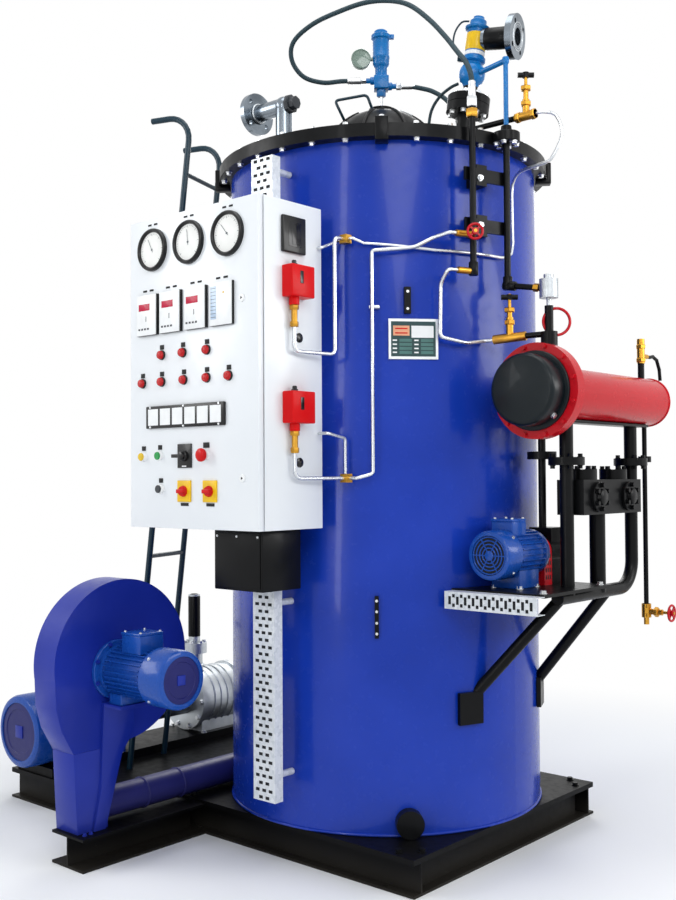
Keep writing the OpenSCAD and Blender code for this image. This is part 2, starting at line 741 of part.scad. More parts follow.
// Brass valves and fittings
top_valve = [sv_x + 229, sv_y + 7, cover_top + 46];
stop_dir = [sin(left_pipe_a), -cos(left_pipe_a), 0];
stop_spin_a = -48;
stop_spin = [cos(stop_spin_a), sin(stop_spin_a), 0];
stop_at = [left_pipe[0], left_pipe[1], shell_top - stop_drop];
front_in = [shell_r + 23, -138, heater_z + 168];
front_out = [shell_r + 123, -113, heater_z + 174];
front_dir = unit(front_out - front_in);
front_mid = (front_in + front_out) / 2;
drain_at = [heater_x, drain_y, frame_z - 94];
switch_z = [for (share = [0.7041, 0.3221]) panel_z + share * panel_h];
switch_x = panel_right + 16.5;
switch_y = panel_yf + 130;
stem_z = [for (z = switch_z) z - 86];
union_at = [panel_right + 42, -(shell_r - 38), shell_top - union_drop];
tee_at = [panel_right + 42, -(shell_r - 35), panel_z + 148];
relief_y = 512;
relief_z = heater_z + 132;
fit_w = 13;
module brass_valves() color([0.80, 0.58, 0.16]) {
    xcyl(top_valve[0] - 36, top_valve[0] + 34, top_valve[1], top_valve[2], 14);
    zcyl(top_valve[0], top_valve[1], top_valve[2], top_valve[2] + 50, 11);
    zcyl(top_valve[0], top_valve[1], top_valve[2] + 50 - eps, top_valve[2] + 92, 8);
    zcyl(top_valve[0], top_valve[1], top_valve[2], top_valve[2] + 136, spindle_r);
    rod(stop_at + (pipe_r + seat) * stop_dir, stop_at + 60 * stop_dir, 10);
    rod(stop_at + (pipe_r + seat) * stop_spin, stop_at + (pipe_r + 20) * stop_spin, 9);
    rod(stop_at + (pipe_r + 19) * stop_spin, stop_at + (pipe_r + 46) * stop_spin, spindle_r);
    low_fit = [left_pipe[0], left_pipe[1], left_low_z];
    rod(low_fit + (pipe_r + 3 + seat) * stop_dir, low_fit + 55 * stop_dir, 10);
    rod(front_in, front_out, 14);
    zcyl(front_mid[0], front_mid[1], front_mid[2], front_mid[2] + 62, 11);
    zcyl(front_mid[0], front_mid[1], front_mid[2] + 60, front_mid[2] + 92, 8);
    zcyl(front_mid[0], front_mid[1], front_mid[2] + 60, front_mid[2] + 134, spindle_r);
    zcyl(drain_at[0], drain_at[1], drain_at[2] - 20, drain_at[2] + 26, 16);
    zcyl(drain_at[0], drain_at[1], drain_at[2] - 44, drain_at[2] - 19, 9);
    xcyl(drain_at[0], drain_at[0] + 58, drain_at[1], drain_at[2], 10);
    xcyl(drain_at[0] + 57, drain_at[0] + 100, drain_at[1], drain_at[2], spindle_r);
    zcyl(heater_x, relief_y, relief_z, relief_z + 83, 13);
    ycyl(heater_x, relief_y, relief_y + 45, relief_z + 26, 8);
    for (z = switch_z) zcyl(switch_x, switch_y, z - 86, z - 22, 9);
    for (p = [union_at, tee_at])
        box(p[0] - fit_w, p[0] + fit_w, p[1] - fit_w, p[1] + fit_w, p[2] - fit_w, p[2] + fit_w);
}

// Tee handles and hand wheels
module tee_handle() difference() {
    union() {
        cylinder(h = hub_l, r = hub_r);
        translate([0, -tee_l / 2, hub_l / 2]) rotate([-90, 0, 0]) cylinder(h = tee_l, r = tee_r);
    }
    translate([0, 0, -1]) cylinder(h = hub_l + 2, r = spindle_r + spindle_clear);
}
module hand_wheel(r) difference() {
    union() {
        cylinder(h = hub_l, r = hub_r);
        translate([0, 0, hub_l / 2]) rotate_extrude() translate([r, 0]) circle(r = wheel_rim_r, $fn = 24);
        for (k = [0 : 3]) rotate([0, 0, 90 * k + 45]) translate([0, -3, hub_l / 2 - 2]) cube([r, 6, 4]);
    }
    translate([0, 0, -1]) cylinder(h = hub_l + 2, r = spindle_r + spindle_clear);
}
module top_valve_handle() color([0.05, 0.10, 0.12])
    translate([top_valve[0], top_valve[1], top_valve[2] + 118]) rotate([0, 0, lean_a - 90]) tee_handle();
module front_valve_handle() color([0.05, 0.10, 0.12])
    translate([front_mid[0], front_mid[1], front_mid[2] + 116]) rotate([0, 0, lean_a - 90]) tee_handle();
module stop_valve_wheel() color([0.72, 0.10, 0.12])
    translate(stop_at + (pipe_r + 28) * stop_spin) rotate([0, 0, stop_spin_a])
        rotate([0, 90, 0]) hand_wheel(wheel_r);
module drain_valve_wheel() color([0.72, 0.10, 0.12])
    translate([drain_at[0] + 82, drain_at[1], drain_at[2]]) rotate([0, 90, 0]) hand_wheel(drain_wheel_r);

// Small silver tubes on the casing and the panel side
far = tube_off + 16;
function arc_pts(a0, a1, z0, z1, off, n) =
    [for (k = [0 : n]) on_shell(a0 + (a1 - a0) * k / n, z0 + (z1 - z0) * k / n, off)];
module impulse_tubes() color([0.85, 0.87, 0.90]) {
    start = [top_valve[0] + 34.3, top_valve[1], top_valve[2]];
    tube_y = panel_yb - 16;
    loop = smooth([start, start + [20, 2, 0], start + [50, 32, -8], start + [66, 42, -66],
        start + [42, 28, -132],
        start + [18, 22, -150], [shell_r + 65, -42, shell_top - 70], on_shell(-1.3, shell_top - 94, 18),
        on_shell(-1.3, shell_top - 140, tube_off)], 3);
    line = concat(loop, [on_shell(-1.2, shell_top - 210, tube_off), on_shell(-1, shell_top - 285, tube_off),
        on_shell(-2, shell_top - 318, tube_off), on_shell(-4.5, shell_top - 332, tube_off)],
        arc_pts(-8, -34, union_at[2] - 33, union_at[2] - 32, tube_off, 5),
        arc_pts(-39, -57, union_at[2] - 28, union_at[2] - 12, tube_off, 4),
        [union_at + [fit_w + 14, 0, 0], union_at + [fit_w + 0.3, 0, 0]]);
    sweep(line, tube_r - 1, 8);
    trap_z = min(stem_z[0], union_at[2]) - 70;
    rise_y = union_at[1] - 50;
    sweep(rounded([[switch_x, switch_y, stem_z[0] - 0.3], [switch_x, switch_y, trap_z],
        [union_at[0], rise_y, trap_z], [union_at[0], rise_y, union_at[2]],
        union_at - [0, fit_w + 0.3, 0]], 20), tube_r, 8);
    side_x = panel_right + 15;
    sweep(rounded([[panel_right + 0.3, tube_y, union_at[2] - 34], [side_x, tube_y, union_at[2] - 34],
        [side_x, union_at[1], union_at[2]], union_at - [fit_w + 0.3, 0, 0]], 6), tube_r - 1, 8);
    sweep(rounded([[switch_x, switch_y, stem_z[1] - 0.3], [switch_x, switch_y, tee_at[2]],
        tee_at - [0, fit_w + 0.3, 0]], 24), tube_r, 8);
    down = tee_at - [0, 4, 0];
    from_z = tee_at[2] + 133;
    sweep(rounded([[panel_right + 0.3, tube_y, from_z], [down[0] - 6, tube_y, from_z],
        down + [0, 0, 119], down + [0, 0, fit_w + 0.3]], 7), tube_r - 1, 8);
    sweep(rounded([tee_at + [fit_w + 0.3, 0, 0], tee_at + [fit_w + 30, 0, 0],
        on_shell(-54.3, tee_at[2] + 13, far),
        on_shell(-54.3, stop_at[2] - 50, far), on_shell(-47, stop_at[2] - 46, far),
            on_shell(-41, stop_at[2] - 40, far),
        on_shell(-35, stop_at[2] - 10, far + 4), stop_at + 82 * stop_dir, stop_at + 60.3 * stop_dir],
            10), tube_r, 8);
    low_end = [left_pipe[0], left_pipe[1], left_low_z] + 55.3 * stop_dir;
    sweep(rounded([low_end, low_end + 34 * stop_dir, on_shell(-33, left_low_z - 37, far + 8),
        on_shell(-33, front_in[2] + 2, far), on_shell(-24, front_in[2] - 14, far),
            front_in - 30 * front_dir,
        front_in - 0.3 * front_dir], 14), tube_r, 8);
}

// Plate without lettering on the casing
module nameplate() color([0.70, 0.72, 0.74]) at_shell(-41, shell_top - 605)
    box(0, 3, -76, 76, -61, 61);

// Two small lugs and the round inspection boss
module shell_fittings() color([0.05, 0.05, 0.06]) {
    at_shell(-43, shell_top - 489) box(0, 14, -10, 10, -40, 40);
    at_shell(-53.6, 761) box(0, 12, -6, 6, -63, 63);
    at_shell(-43.6, deck_z + 44) xcyl(0, 36, 0, 0, 42);
}

// Control panel: hollow box and its door
module panel_box() color([0.93, 0.93, 0.92]) {
    difference() {
        box(panel_left, panel_right, box_yf, panel_yb, panel_z, panel_top);
        box(panel_left + panel_wall, panel_right - panel_wall, box_yf - 1, panel_yb - panel_wall,
            panel_z + panel_wall, panel_top - panel_wall);
    }
    for (z = hinge_z) {
        zcyl(hinge_x, hinge_y, z - hinge_l, z, hinge_r);
        zcyl(hinge_x, hinge_y, z - eps, z + hinge_l, hinge_pin_r);
        box(hinge_x, panel_left + eps, box_yf, box_yf + 3, z - hinge_l, z);
    }
}
module panel_door() color([0.95, 0.95, 0.94]) difference() {
    union() {
        box(panel_left, panel_right, panel_yf, door_yb, panel_z, panel_top);
        for (z = hinge_z) {
            zcyl(hinge_x, hinge_y, z + 1, z + hinge_l, hinge_r);
            box(hinge_x, panel_left + eps, door_yb - 3, door_yb, z + 1, z + hinge_l);
        }
    }
    for (z = hinge_z) zcyl(hinge_x, hinge_y, z, z + hinge_l + 1, hinge_pin_r + spindle_clear);
}

// Places on the door as shares of its width and height
function door_x(u) = panel_left + u * panel_w;
function door_z(v) = panel_z + v * panel_h;

// Three dial gauges
module panel_gauges() color([0.05, 0.05, 0.05]) for (u = [0.196, 0.490, 0.788])
    ycyl(door_x(u), panel_yf - gauge_t, panel_yf, door_z(0.898), gauge_r);

// Four controllers and the lamp box
module panel_controllers() color([0.90, 0.90, 0.92]) {
    for (u = [0.161, 0.353, 0.551, 0.748]) box(door_x(u) - ctl_w / 2, door_x(u) + ctl_w / 2,
        panel_yf - ctl_t, panel_yf,
        door_z(0.687) - ctl_h / 2, door_z(0.687) + ctl_h / 2);
    box(door_x(0.150), door_x(0.769), panel_yf - 10, panel_yf, door_z(0.318), door_z(0.390));
}

// Lamps, push buttons, switches and door locks
module door_button(u, v, r, t) { ycyl(door_x(u), panel_yf - t, panel_yf, door_z(v), r); }
module door_switch(u, v, w, h) {
    box(door_x(u) - w / 2, door_x(u) + w / 2, panel_yf - 5, panel_yf, door_z(v) - h / 2, door_z(v) + h / 2);
    door_button(u, v, w / 4, 22);
}
module panel_buttons() color([0.75, 0.12, 0.12]) {
    for (u = [0.269, 0.441, 0.628]) door_button(u, 0.553, lamp_r, lamp_t);
    for (u = [0.108, 0.269, 0.448, 0.628, 0.792]) door_button(u, 0.467, lamp_r, lamp_t);
    door_button(0.115, 0.228, lamp_r, lamp_t);
    door_button(0.252, 0.230, lamp_r, lamp_t);
    door_button(0.619, 0.229, lamp_r + 5, lamp_t + 14);
    door_button(0.259, 0.124, lamp_r, lamp_t);
    door_switch(0.455, 0.228, 62, 72);
    door_switch(0.451, 0.1175, 60, 64);
    door_switch(0.650, 0.1175, 60, 64);
    for (v = [0.696, 0.157]) door_button(0.888, v, 12, 10);
}

// Instrument on the panel side
module side_recorder() color([0.05, 0.05, 0.05])
    box(panel_right, panel_right + 12, panel_yf + 91, panel_yf + 187, door_z(0.8405), door_z(0.9528));

// Two red pressure switches on the panel side
module pressure_switches() color([0.78, 0.10, 0.12]) for (z = switch_z) {
    box(panel_right, panel_right + 43, switch_y - 35, switch_y + 60, z, z + 92);
    zcyl(switch_x, switch_y, z - 22, z + eps, 15);
}

// Black box under the panel
module junction_box() color([0.06, 0.06, 0.07])
    box(jbox_x1 - jbox_w, jbox_x1, jbox_y1 - jbox_d, jbox_y1, panel_z - jbox_h, panel_z);

// Galvanised trays: under the panel, above it, and on the oil platform
tray_mid = tray_x0 + tray_w / 2;
tray_hold = -sqrt(shell_r * shell_r - pow(max(abs(tray_mid) - 10, 0), 2)) - seat;
platform_y0 = motor_y0;
module tray_run(z0, z1, hold) {
    difference() {
        box(tray_x0, tray_x0 + tray_w, tray_y1 - tray_d, tray_y1, z0, z1);
        box(tray_x0 + tray_t, tray_x0 + tray_w - tray_t, tray_y1 - tray_d + tray_t, tray_y1 + 1, z0 - 1,
            z1 + 1);
    }
    for (z = hold) {
        box(tray_x0 + tray_t - eps, tray_x0 + tray_w - tray_t + eps, tray_y1 - 6, tray_y1, z - 15, z + 15);
        ycyl(tray_mid, tray_y1 - eps, tray_hold, z, 10);
    }
}
module cable_trays() color([0.80, 0.82, 0.84]) {
    tray_run(tray_low_z, panel_z - jbox_h, tray_pins);
    tray_run(panel_top, panel_top + tray_top_h, top_pins);
    difference() {
        box(shell_r - 59, heater_x + 68, platform_y0 - 42, platform_y0, platform_z - 47, platform_z + 5);
        box(shell_r - 60, heater_x + 69, platform_y0 - 42 + tray_t, platform_y0 + 1,
            platform_z - 47 + tray_t,
            platform_z + 5 - tray_t);
    }
}

// Sloping ladder with outward hand hooks
hook_z = [cover_top + 133, cover_top + 175];
hook_n = 7;
function rail_path(y, z) = let (x = ladder_x(z) + hook_r * cos(ladder_slope),
    high = z + hook_r * sin(ladder_slope)) concat([[ladder_x(deck_z - 40), y, deck_z - 40]],
    [for (k = [0 : hook_n]) let (a = (90 + ladder_slope) * k / hook_n - ladder_slope)
        [x - hook_r * cos(a), y, high + hook_r * sin(a)]], [[x + hook_l, y, high + hook_r]]);
module ladder_rails() color([0.04, 0.10, 0.12]) rotate([0, 0, ladder_a]) difference() {
    for (k = [0, 1]) sweep(rail_path((k - 0.5) * ladder_w, hook_z[k]), rail_r, 16);
    box(ladder_x(deck_z) - 120, ladder_x(deck_z) + 120, -ladder_w, ladder_w, deck_z - 120, deck_z);
}
rung_z0 = deck_z + 225;
rung_n = 1 + floor((ladder_bend_z - rung_z0) / rung_step);
module ladder_rungs() color([0.04, 0.10, 0.12]) rotate([0, 0, ladder_a]) for (k = [0 : rung_n - 1]) {
    z = rung_z0 + k * rung_step;
    ycyl(ladder_x(z), -ladder_w / 2 + rail_r + seat, ladder_w / 2 - rail_r - seat, z, rung_r);
}

// Combustion fan: scroll casing, stand and motor
scroll_y = 29 - fan_y;
scroll_z = fan_z + 24;
scroll_h = fan_r + 9;
stand_z = scroll_z - scroll_h;
stand_y = -skid_half - fan_beam_l + 16;
stand_back = stand_y + 112;
module fan_casing() color([0.07, 0.14, 0.62]) {
    xcyl(fan_x0, fan_x1, scroll_y, scroll_z, fan_r);
    translate([fan_x0, scroll_y, scroll_z]) rotate([90, 0, 90]) linear_extrude(fan_w)
        polygon([[2 - fan_r, -8], [6 - fan_r, -118], [26 - fan_r, -188], [68 - fan_r, -scroll_h],
            [stand_back - scroll_y, -scroll_h], [0, -8]]);
    xcyl(fan_x0 - 36, fan_x0 + eps, scroll_y, scroll_z, 118);
}
motor_seat_z = fan_z - fan_motor_r - 14;
motor_edge = stand_y + 205;
module fan_stand() color([0.08, 0.22, 0.70]) {
    translate([fan_x0, 0, 0]) rotate([90, 0, 90]) linear_extrude(fan_w)
        polygon([[stand_y, beam_h], [stand_back, beam_h], [stand_back, stand_z],
            [scroll_y + 68 - fan_r, stand_z]]);
    translate([fan_x1, 0, 0]) rotate([90, 0, 90]) linear_extrude(stand_t)
        polygon([[stand_y + 53, beam_h], [stand_y + 96, beam_h], [stand_y + 158, 319], [motor_edge, 387],
            [motor_edge, motor_seat_z], [stand_y + 89, motor_seat_z], [stand_y + 79, 228]]);
    box(fan_x1 + stand_t - eps, fan_x1 + 96, stand_y + 89, motor_edge, motor_seat_z - 12, motor_seat_z);
}
cowl_x = fan_x1 + fan_motor_l - 95;
module fan_motor() color([0.07, 0.25, 0.75]) {
    xcyl(fan_x1, fan_x1 + 14, -fan_y, fan_z, fan_motor_r + 8);
    xcyl(fan_x1 + 14 - eps, cowl_x + eps, -fan_y, fan_z, fan_motor_r - 8);
    xcyl(cowl_x, fan_x1 + fan_motor_l, -fan_y, fan_z, fan_motor_r + 4);
    box(fan_x1 + 30, fan_x1 + 90, -fan_y - 48, -fan_y + 48, motor_seat_z, fan_z - fan_motor_r + 20);
    box(fan_x1 + 88, fan_x1 + 178, -fan_y - 45, -fan_y + 45, fan_z + fan_motor_r - 20,
        fan_z + fan_motor_r + 44);
}

// Round air duct from the stand to the casing
duct_x = (fan_x0 + fan_x1) / 2;
module air_duct() color([0.10, 0.12, 0.50]) difference() {
    ycyl(duct_x, stand_back, -100, duct_z, duct_r);
    zcyl(0, 0, duct_z - duct_r - 1, duct_z + duct_r + 1, shell_r + seat);
}

// Feed pump set: motor, pump with its air vessel, and base
base_top = deck_z + pump_base_h;
module feed_motor() color([0.07, 0.25, 0.75]) {
    ycyl(feed_x, feed_y0, feed_y0 + 120, feed_z, feed_motor_r);
    ycyl(feed_x, feed_y0 + 120 - eps, feed_y0 + feed_motor_l, feed_z, feed_motor_r - 14);
    box(feed_x - 105, feed_x + 105, feed_y0 + 150, feed_y0 + 400, base_top, feed_z - 80);
}
module feed_pump() color([0.68, 0.72, 0.75]) {
    ycyl(feed_x, feed_y0 + feed_motor_l, pump_y0 + eps, feed_z, 62);
    ycyl(feed_x, pump_y0, pump_y0 + pump_l, feed_z, pump_r);
    for (y = [pump_y0, pump_y0 + pump_l - 24]) ycyl(feed_x, y, y + 24, feed_z, pump_r + 8);
    box(feed_x - 80, feed_x + 80, pump_y0 + 30, pump_y0 + pump_l - 30, base_top, feed_z - 60);
    zcyl(feed_x, pump_y0 + 60, feed_z, 452, 34);
    zcyl(feed_x, pump_y0 + 60, 452 - eps, 494, 52);
    zcyl(feed_x, pump_y0 + 60, 494 - eps, 494 + vessel_l, vessel_r);
}
module pump_base() color([0.05, 0.05, 0.06])
    box(feed_x - 110, feed_x + 110, feed_y0 + 70, pump_y0 + pump_l + 15, deck_z, base_top);

// Oil heater: vessel with its flange, and the black front cap
heater_end = heater_y0 + heater_l;
end_r = heater_r * 1.25;
module heater_vessel() color([0.80, 0.08, 0.10]) {
    ycyl(heater_x, heater_y0 - heater_flange_t, heater_y0, heater_z, heater_flange_r);
    ycyl(heater_x, heater_y0 - eps, heater_end, heater_z, heater_r);
    intersection() {
        translate([heater_x, heater_end - sqrt(end_r * end_r - heater_r * heater_r),
            heater_z]) sphere(r = end_r);
        ycyl(heater_x, heater_end - 5, heater_end + end_r, heater_z, heater_r - eps);
    }
}
module heater_cap() color([0.05, 0.07, 0.08]) {
    back = heater_y0 - heater_flange_t;
    ycyl(heater_x, back - heater_cap_l + 14, back, heater_z, heater_cap_r);
    translate([heater_x, back - heater_cap_l, heater_z]) rotate([-90, 0, 0])
        cylinder(h = 14 + eps, r1 = heater_cap_r - 14, r2 = heater_cap_r);
}

// Posts under the heater, the frame rail and its braces
column_y = 190;
strainer_z = frame_z + 248;
post_flange_z = heater_z - 217;
module heater_posts() color([0.04, 0.04, 0.05]) difference() {
    union() {
        zcyl(heater_x, post_y[0], frame_z, heater_z, post_r);
        zcyl(heater_x, post_y[1], frame_z + frame_bend, heater_z, post_r);
        for (y = post_y) zcyl(heater_x, y, post_flange_z, post_flange_z + 24, post_r + 34);
        zcyl(heater_x, column_y, frame_z, strainer_z, post_r + 4);
    }
    ycyl(heater_x, -200, heater_end, heater_z, heater_r + seat);
    ycyl(heater_x, -100, post_y[1] - frame_bend, frame_z, post_r + seat);
}
module frame_rail() color([0.04, 0.04, 0.05]) {
    ycyl(heater_x, -62, post_y[1] - frame_bend, frame_z, post_r);
    translate([heater_x, post_y[1] - frame_bend - eps, frame_z + frame_bend])
        rotate([90, 0, 90]) rotate([0, 0, -90])
        rotate_extrude(angle = 90) translate([frame_bend, 0]) circle(r = post_r);
}
brace_z = frame_z - 0.4744 * (frame_z - deck_z);
module frame_braces() color([0.04, 0.04, 0.05]) difference() {
    for (b = [[-22, brace_z, -40], [24, brace_z - 9, 250]]) {
        rod(on_shell(b[0], b[1], -30), [heater_x, b[2], frame_z], post_r - 3);
        at_shell(b[0], b[1]) box(0, 14, -42, 42, -48, 48);
    }
    ycyl(heater_x, -100, post_y[1], frame_z, post_r + seat);
    zcyl(0, 0, deck_z, frame_z, shell_r + seat - eps);
}

// Plate that carries the oil pump set
module oil_platform() color([0.05, 0.05, 0.06]) difference() {
    box(shell_r - 85, heater_x + 68, platform_y0, 150, platform_z, platform_z + platform_t);
    zcyl(0, 0, platform_z - 1, platform_z + platform_t + 1, shell_r + seat);
    zcyl(heater_x, post_y[0], platform_z - 1, platform_z + platform_t + 1, post_r + seat);
}

// Oil pump set: motor, red coupling guard and pump
plate_top = platform_z + platform_t;
guard_y = motor_y0 + oil_motor_l;
oil_pump_y = guard_y + 44;
module oil_motor() color([0.07, 0.30, 0.80]) {
    ycyl(motor_x, motor_y0, motor_y0 + 70, motor_z, oil_motor_r + 4);
    ycyl(motor_x, motor_y0 + 70 - eps, guard_y, motor_z, oil_motor_r - 6);
    box(motor_x - 50, motor_x + 50, motor_y0 + 90, motor_y0 + 200, plate_top, motor_z - 46);
    box(motor_x - 38, motor_x + 38, motor_y0 + 74, motor_y0 + 150, motor_z + oil_motor_r - 20,
        motor_z + oil_motor_r + 36);
}
module coupling_guard() color([0.75, 0.15, 0.10]) {
    box(motor_x - 46, motor_x + 46, guard_y, oil_pump_y, plate_top, motor_z);
    ycyl(motor_x, guard_y, oil_pump_y, motor_z, 46);
}
module oil_pump() color([0.04, 0.04, 0.05]) {
    ycyl(motor_x, oil_pump_y, oil_pump_y + 90, motor_z, 48);
    box(motor_x - 40, motor_x + 40, oil_pump_y + 8, oil_pump_y + 82, plate_top, motor_z + 72);
    box(heater_x - 46, heater_x + 46, post_y[0] + post_r + seat, post_y[1] - post_r - seat, strainer_z,
        strainer_z + 108);
    for (y = [column_y - 90, column_y + 110]) zcyl(heater_x, y, strainer_z + 108 - eps, strainer_z + 140,
        44);
}

// Black oil lines around the heater
riser_y = oil_pump_y + 24;
line_z = heater_z - 30;
module oil_lines() color([0.04, 0.05, 0.06]) difference() {
    union() {
        zcyl(motor_x, riser_y, motor_z + 72, line_z, 12);
        zcyl(motor_x, riser_y, heater_z - 197, heater_z - 173, 46);
        translate([motor_x, riser_y, line_z]) sphere(r = 15);
        xcyl(motor_x, heater_x, riser_y, line_z, 12);
        zcyl(oil_nozzle[0], oil_nozzle[1], heater_z, heater_z + 182, 25);
        zcyl(oil_nozzle[0], oil_nozzle[1], heater_z + 182 - eps, heater_z + 260, 13);
        rod(front_out + 0.3 * front_dir, [oil_nozzle[0], oil_nozzle[1], front_out[2] + 2], 9);
        zcyl(heater_x, relief_y, heater_z, relief_z, 11);
        zcyl(heater_x, drain_y, drain_at[2] + 26, heater_z, drain_r);
        zcyl(heater_x, drain_y, heater_z - 205, heater_z - 185, 22);
        xcyl(sv_x, top_valve[0] - 36, top_valve[1], top_valve[2], 9);
        tail_y = relief_y + 45.3;
        tail_z = relief_z + 26;
        tail = [for (q = [[0, 0], [22, 0], [46, 4], [76, -6], [96, -38], [102, -76]])
            [heater_x, tail_y + q[0], tail_z + q[1]]];
        for (k = [0 : 4]) rod(tail[k], tail[k + 1], 6);
        for (k = [1 : 4]) translate(tail[k]) sphere(r = 6.4);
    }
    ycyl(heater_x, heater_y0 - 10, heater_end, heater_z, heater_r + seat);
    sv_frame() zcyl(0, 0, -40, nozzle_l + 20, nozzle_r + seat);
}

// Silver head on the heater inlet
module inlet_head() color([0.90, 0.90, 0.90]) {
    zcyl(oil_nozzle[0], oil_nozzle[1], inlet_z - 52, inlet_z - 29, 7);
    zcyl(oil_nozzle[0], oil_nozzle[1], inlet_z - 29 - eps, inlet_z + 28, inlet_r);
    zcyl(oil_nozzle[0], oil_nozzle[1], inlet_z + 28 - eps, inlet_z + 42, 15);
}

boiler_skid();
side_skid();
deck_plates();
shell();
body_flange();
top_cover();
rim_clamps();
burner_dome();
dome_handle();
burner_unit();
burner_dial();
oil_hose();
return_hose();
valve_hose();
steam_outlet();
valve_nozzle();
safety_valve();
valve_outlet();
oil_pipes();
shell_brackets();
brass_valves();
top_valve_handle();
front_valve_handle();
stop_valve_wheel();
drain_valve_wheel();
impulse_tubes();
nameplate();
shell_fittings();
panel_box();
panel_door();
panel_gauges();
panel_controllers();
panel_buttons();
side_recorder();
pressure_switches();
junction_box();
cable_trays();
ladder_rails();
ladder_rungs();
fan_casing();
fan_stand();
fan_motor();
air_duct();
feed_motor();
feed_pump();
pump_base();
heater_vessel();
heater_cap();
heater_posts();
frame_rail();
frame_braces();
oil_platform();
oil_motor();
coupling_guard();
oil_pump();
oil_lines();
inlet_head();
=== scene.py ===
"""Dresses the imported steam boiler: finishes, fasteners, instruments, hoses, studio light and camera.

Lengths are metres in the frame of the part: origin on the floor under the casing axis, +Z up, and the
control panel facing -Y.
"""

import json
import logging
import math
from dataclasses import dataclass
from enum import Enum
from typing import Iterable, Optional, Sequence, Union

import bmesh
import bpy
from mathutils import Matrix, Vector


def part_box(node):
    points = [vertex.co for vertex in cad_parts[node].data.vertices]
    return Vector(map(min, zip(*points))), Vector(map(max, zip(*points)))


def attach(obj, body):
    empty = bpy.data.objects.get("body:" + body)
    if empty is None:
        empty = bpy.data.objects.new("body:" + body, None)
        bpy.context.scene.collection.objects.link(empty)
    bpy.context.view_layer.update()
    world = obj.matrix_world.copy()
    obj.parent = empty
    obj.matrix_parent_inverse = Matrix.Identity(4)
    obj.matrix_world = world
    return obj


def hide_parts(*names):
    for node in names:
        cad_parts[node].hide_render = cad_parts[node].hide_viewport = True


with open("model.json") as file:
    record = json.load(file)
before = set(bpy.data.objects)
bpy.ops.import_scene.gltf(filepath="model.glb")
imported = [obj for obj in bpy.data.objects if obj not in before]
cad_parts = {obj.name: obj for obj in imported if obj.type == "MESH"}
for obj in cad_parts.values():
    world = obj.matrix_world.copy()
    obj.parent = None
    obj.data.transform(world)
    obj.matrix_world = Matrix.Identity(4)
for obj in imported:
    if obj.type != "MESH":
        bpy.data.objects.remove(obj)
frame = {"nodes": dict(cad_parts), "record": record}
LOG = logging.getLogger("boiler")

Material, Mesh, Object, Socket = bpy.types.Material, bpy.types.Mesh, bpy.types.Object, bpy.types.NodeSocket
Point = tuple[float, float, float]
Colour = tuple[float, float, float]
Pair = tuple[float, float]
Row = tuple[float, ...]
Profile = Sequence[Pair]
Number = Union[Socket, float]

RIGHT, LEFT = Vector((1, 0, 0)), Vector((-1, 0, 0))
BACK, FRONT = Vector((0, 1, 0)), Vector((0, -1, 0))
UP, DOWN = Vector((0, 0, 1)), Vector((0, 0, -1))
HEAD_DOWN = Matrix.Rotation(math.pi, 4, "X")


class Body(Enum):
    """Bodies of the part that the pieces ride on."""

    BOILER = "boiler"
    DOOR = "door"


def srgb(code: str) -> Colour:
    """Turns a display colour into the linear one that a shader takes.

    Args:
        code: Six hexadecimal digits.

    Returns:
        The linear red, green and blue.
    """
    parts = [int(code[i:i + 2], 16) / 255 for i in (0, 2, 4)]
    return tuple(c / 12.92 if c <= 0.04045 else ((c + 0.055) / 1.055) ** 2.4 for c in parts)


def stand(name: str, data: bpy.types.ID) -> Object:
    """Makes an object of that data and puts it in the scene."""
    made = bpy.data.objects.new(name, data)
    bpy.context.scene.collection.objects.link(made)
    return made


def polar(radius: float, degrees: float, z: float) -> Vector:
    """Returns the point at that radius and angle round the casing axis."""
    a = math.radians(degrees)
    return Vector((radius * math.cos(a), radius * math.sin(a), z))


def shift(x: float, y: float, z: float) -> Matrix:
    """Returns the placement that only moves."""
    return Matrix.Translation((x, y, z))


def turned(degrees: float) -> Matrix:
    """Returns the placement that only turns about +Z."""
    return Matrix.Rotation(math.radians(degrees), 4, "Z")


def aim(origin: Union[Point, Vector], axis: Union[Point, Vector], roll: float = 0.0) -> Matrix:
    """Makes the placement whose +Z runs along an axis.

    Args:
        origin: Where the placement's own origin comes to lie.
        axis: Direction of its +Z.
        roll: Turn about that axis, in degrees.

    Returns:
        The placement as a matrix.
    """
    turn = UP.rotation_difference(Vector(axis).normalized())
    return shift(*origin) @ turn.to_matrix().to_4x4() @ turned(roll)


class Value:
    """A shader socket that takes part in Python expressions."""

    def __init__(self, shader: "ShaderTree", socket: Socket) -> None:
        """Keeps the socket and the tree that it belongs to."""
        self.shader = shader
        self.socket = socket

    def _math(self, operation: str, *terms: "Term") -> "Value":
        """Adds one Math node over the terms."""
        return self.shader.node("ShaderNodeMath", {"operation": operation}, dict(enumerate(terms)))

    def __add__(self, other: "Term") -> "Value":
        """Returns self + other."""
        return self._math("ADD", self, other)

    __radd__ = __add__

    def __sub__(self, other: "Term") -> "Value":
        """Returns self - other."""
        return self._math("SUBTRACT", self, other)

    def __rsub__(self, other: "Term") -> "Value":
        """Returns other - self."""
        return self._math("SUBTRACT", other, self)

    def __mul__(self, other: "Term") -> "Value":
        """Returns self * other."""
        return self._math("MULTIPLY", self, other)

    __rmul__ = __mul__

    def most(self, other: "Term") -> "Value":
        """Returns the larger of self and other."""
        return self._math("MAXIMUM", self, other)

    def sine(self) -> "Value":
        """Returns the sine of the value, in radians."""
        return self._math("SINE", self)

    def between(self, low: float, high: float) -> "Value":
        """Returns 0 below low and 1 above high, with a smooth step between."""
        return self.shader.node("ShaderNodeMapRange", {"interpolation_type": "SMOOTHSTEP"},
                                {"Value": self, "From Min": low, "From Max": high})


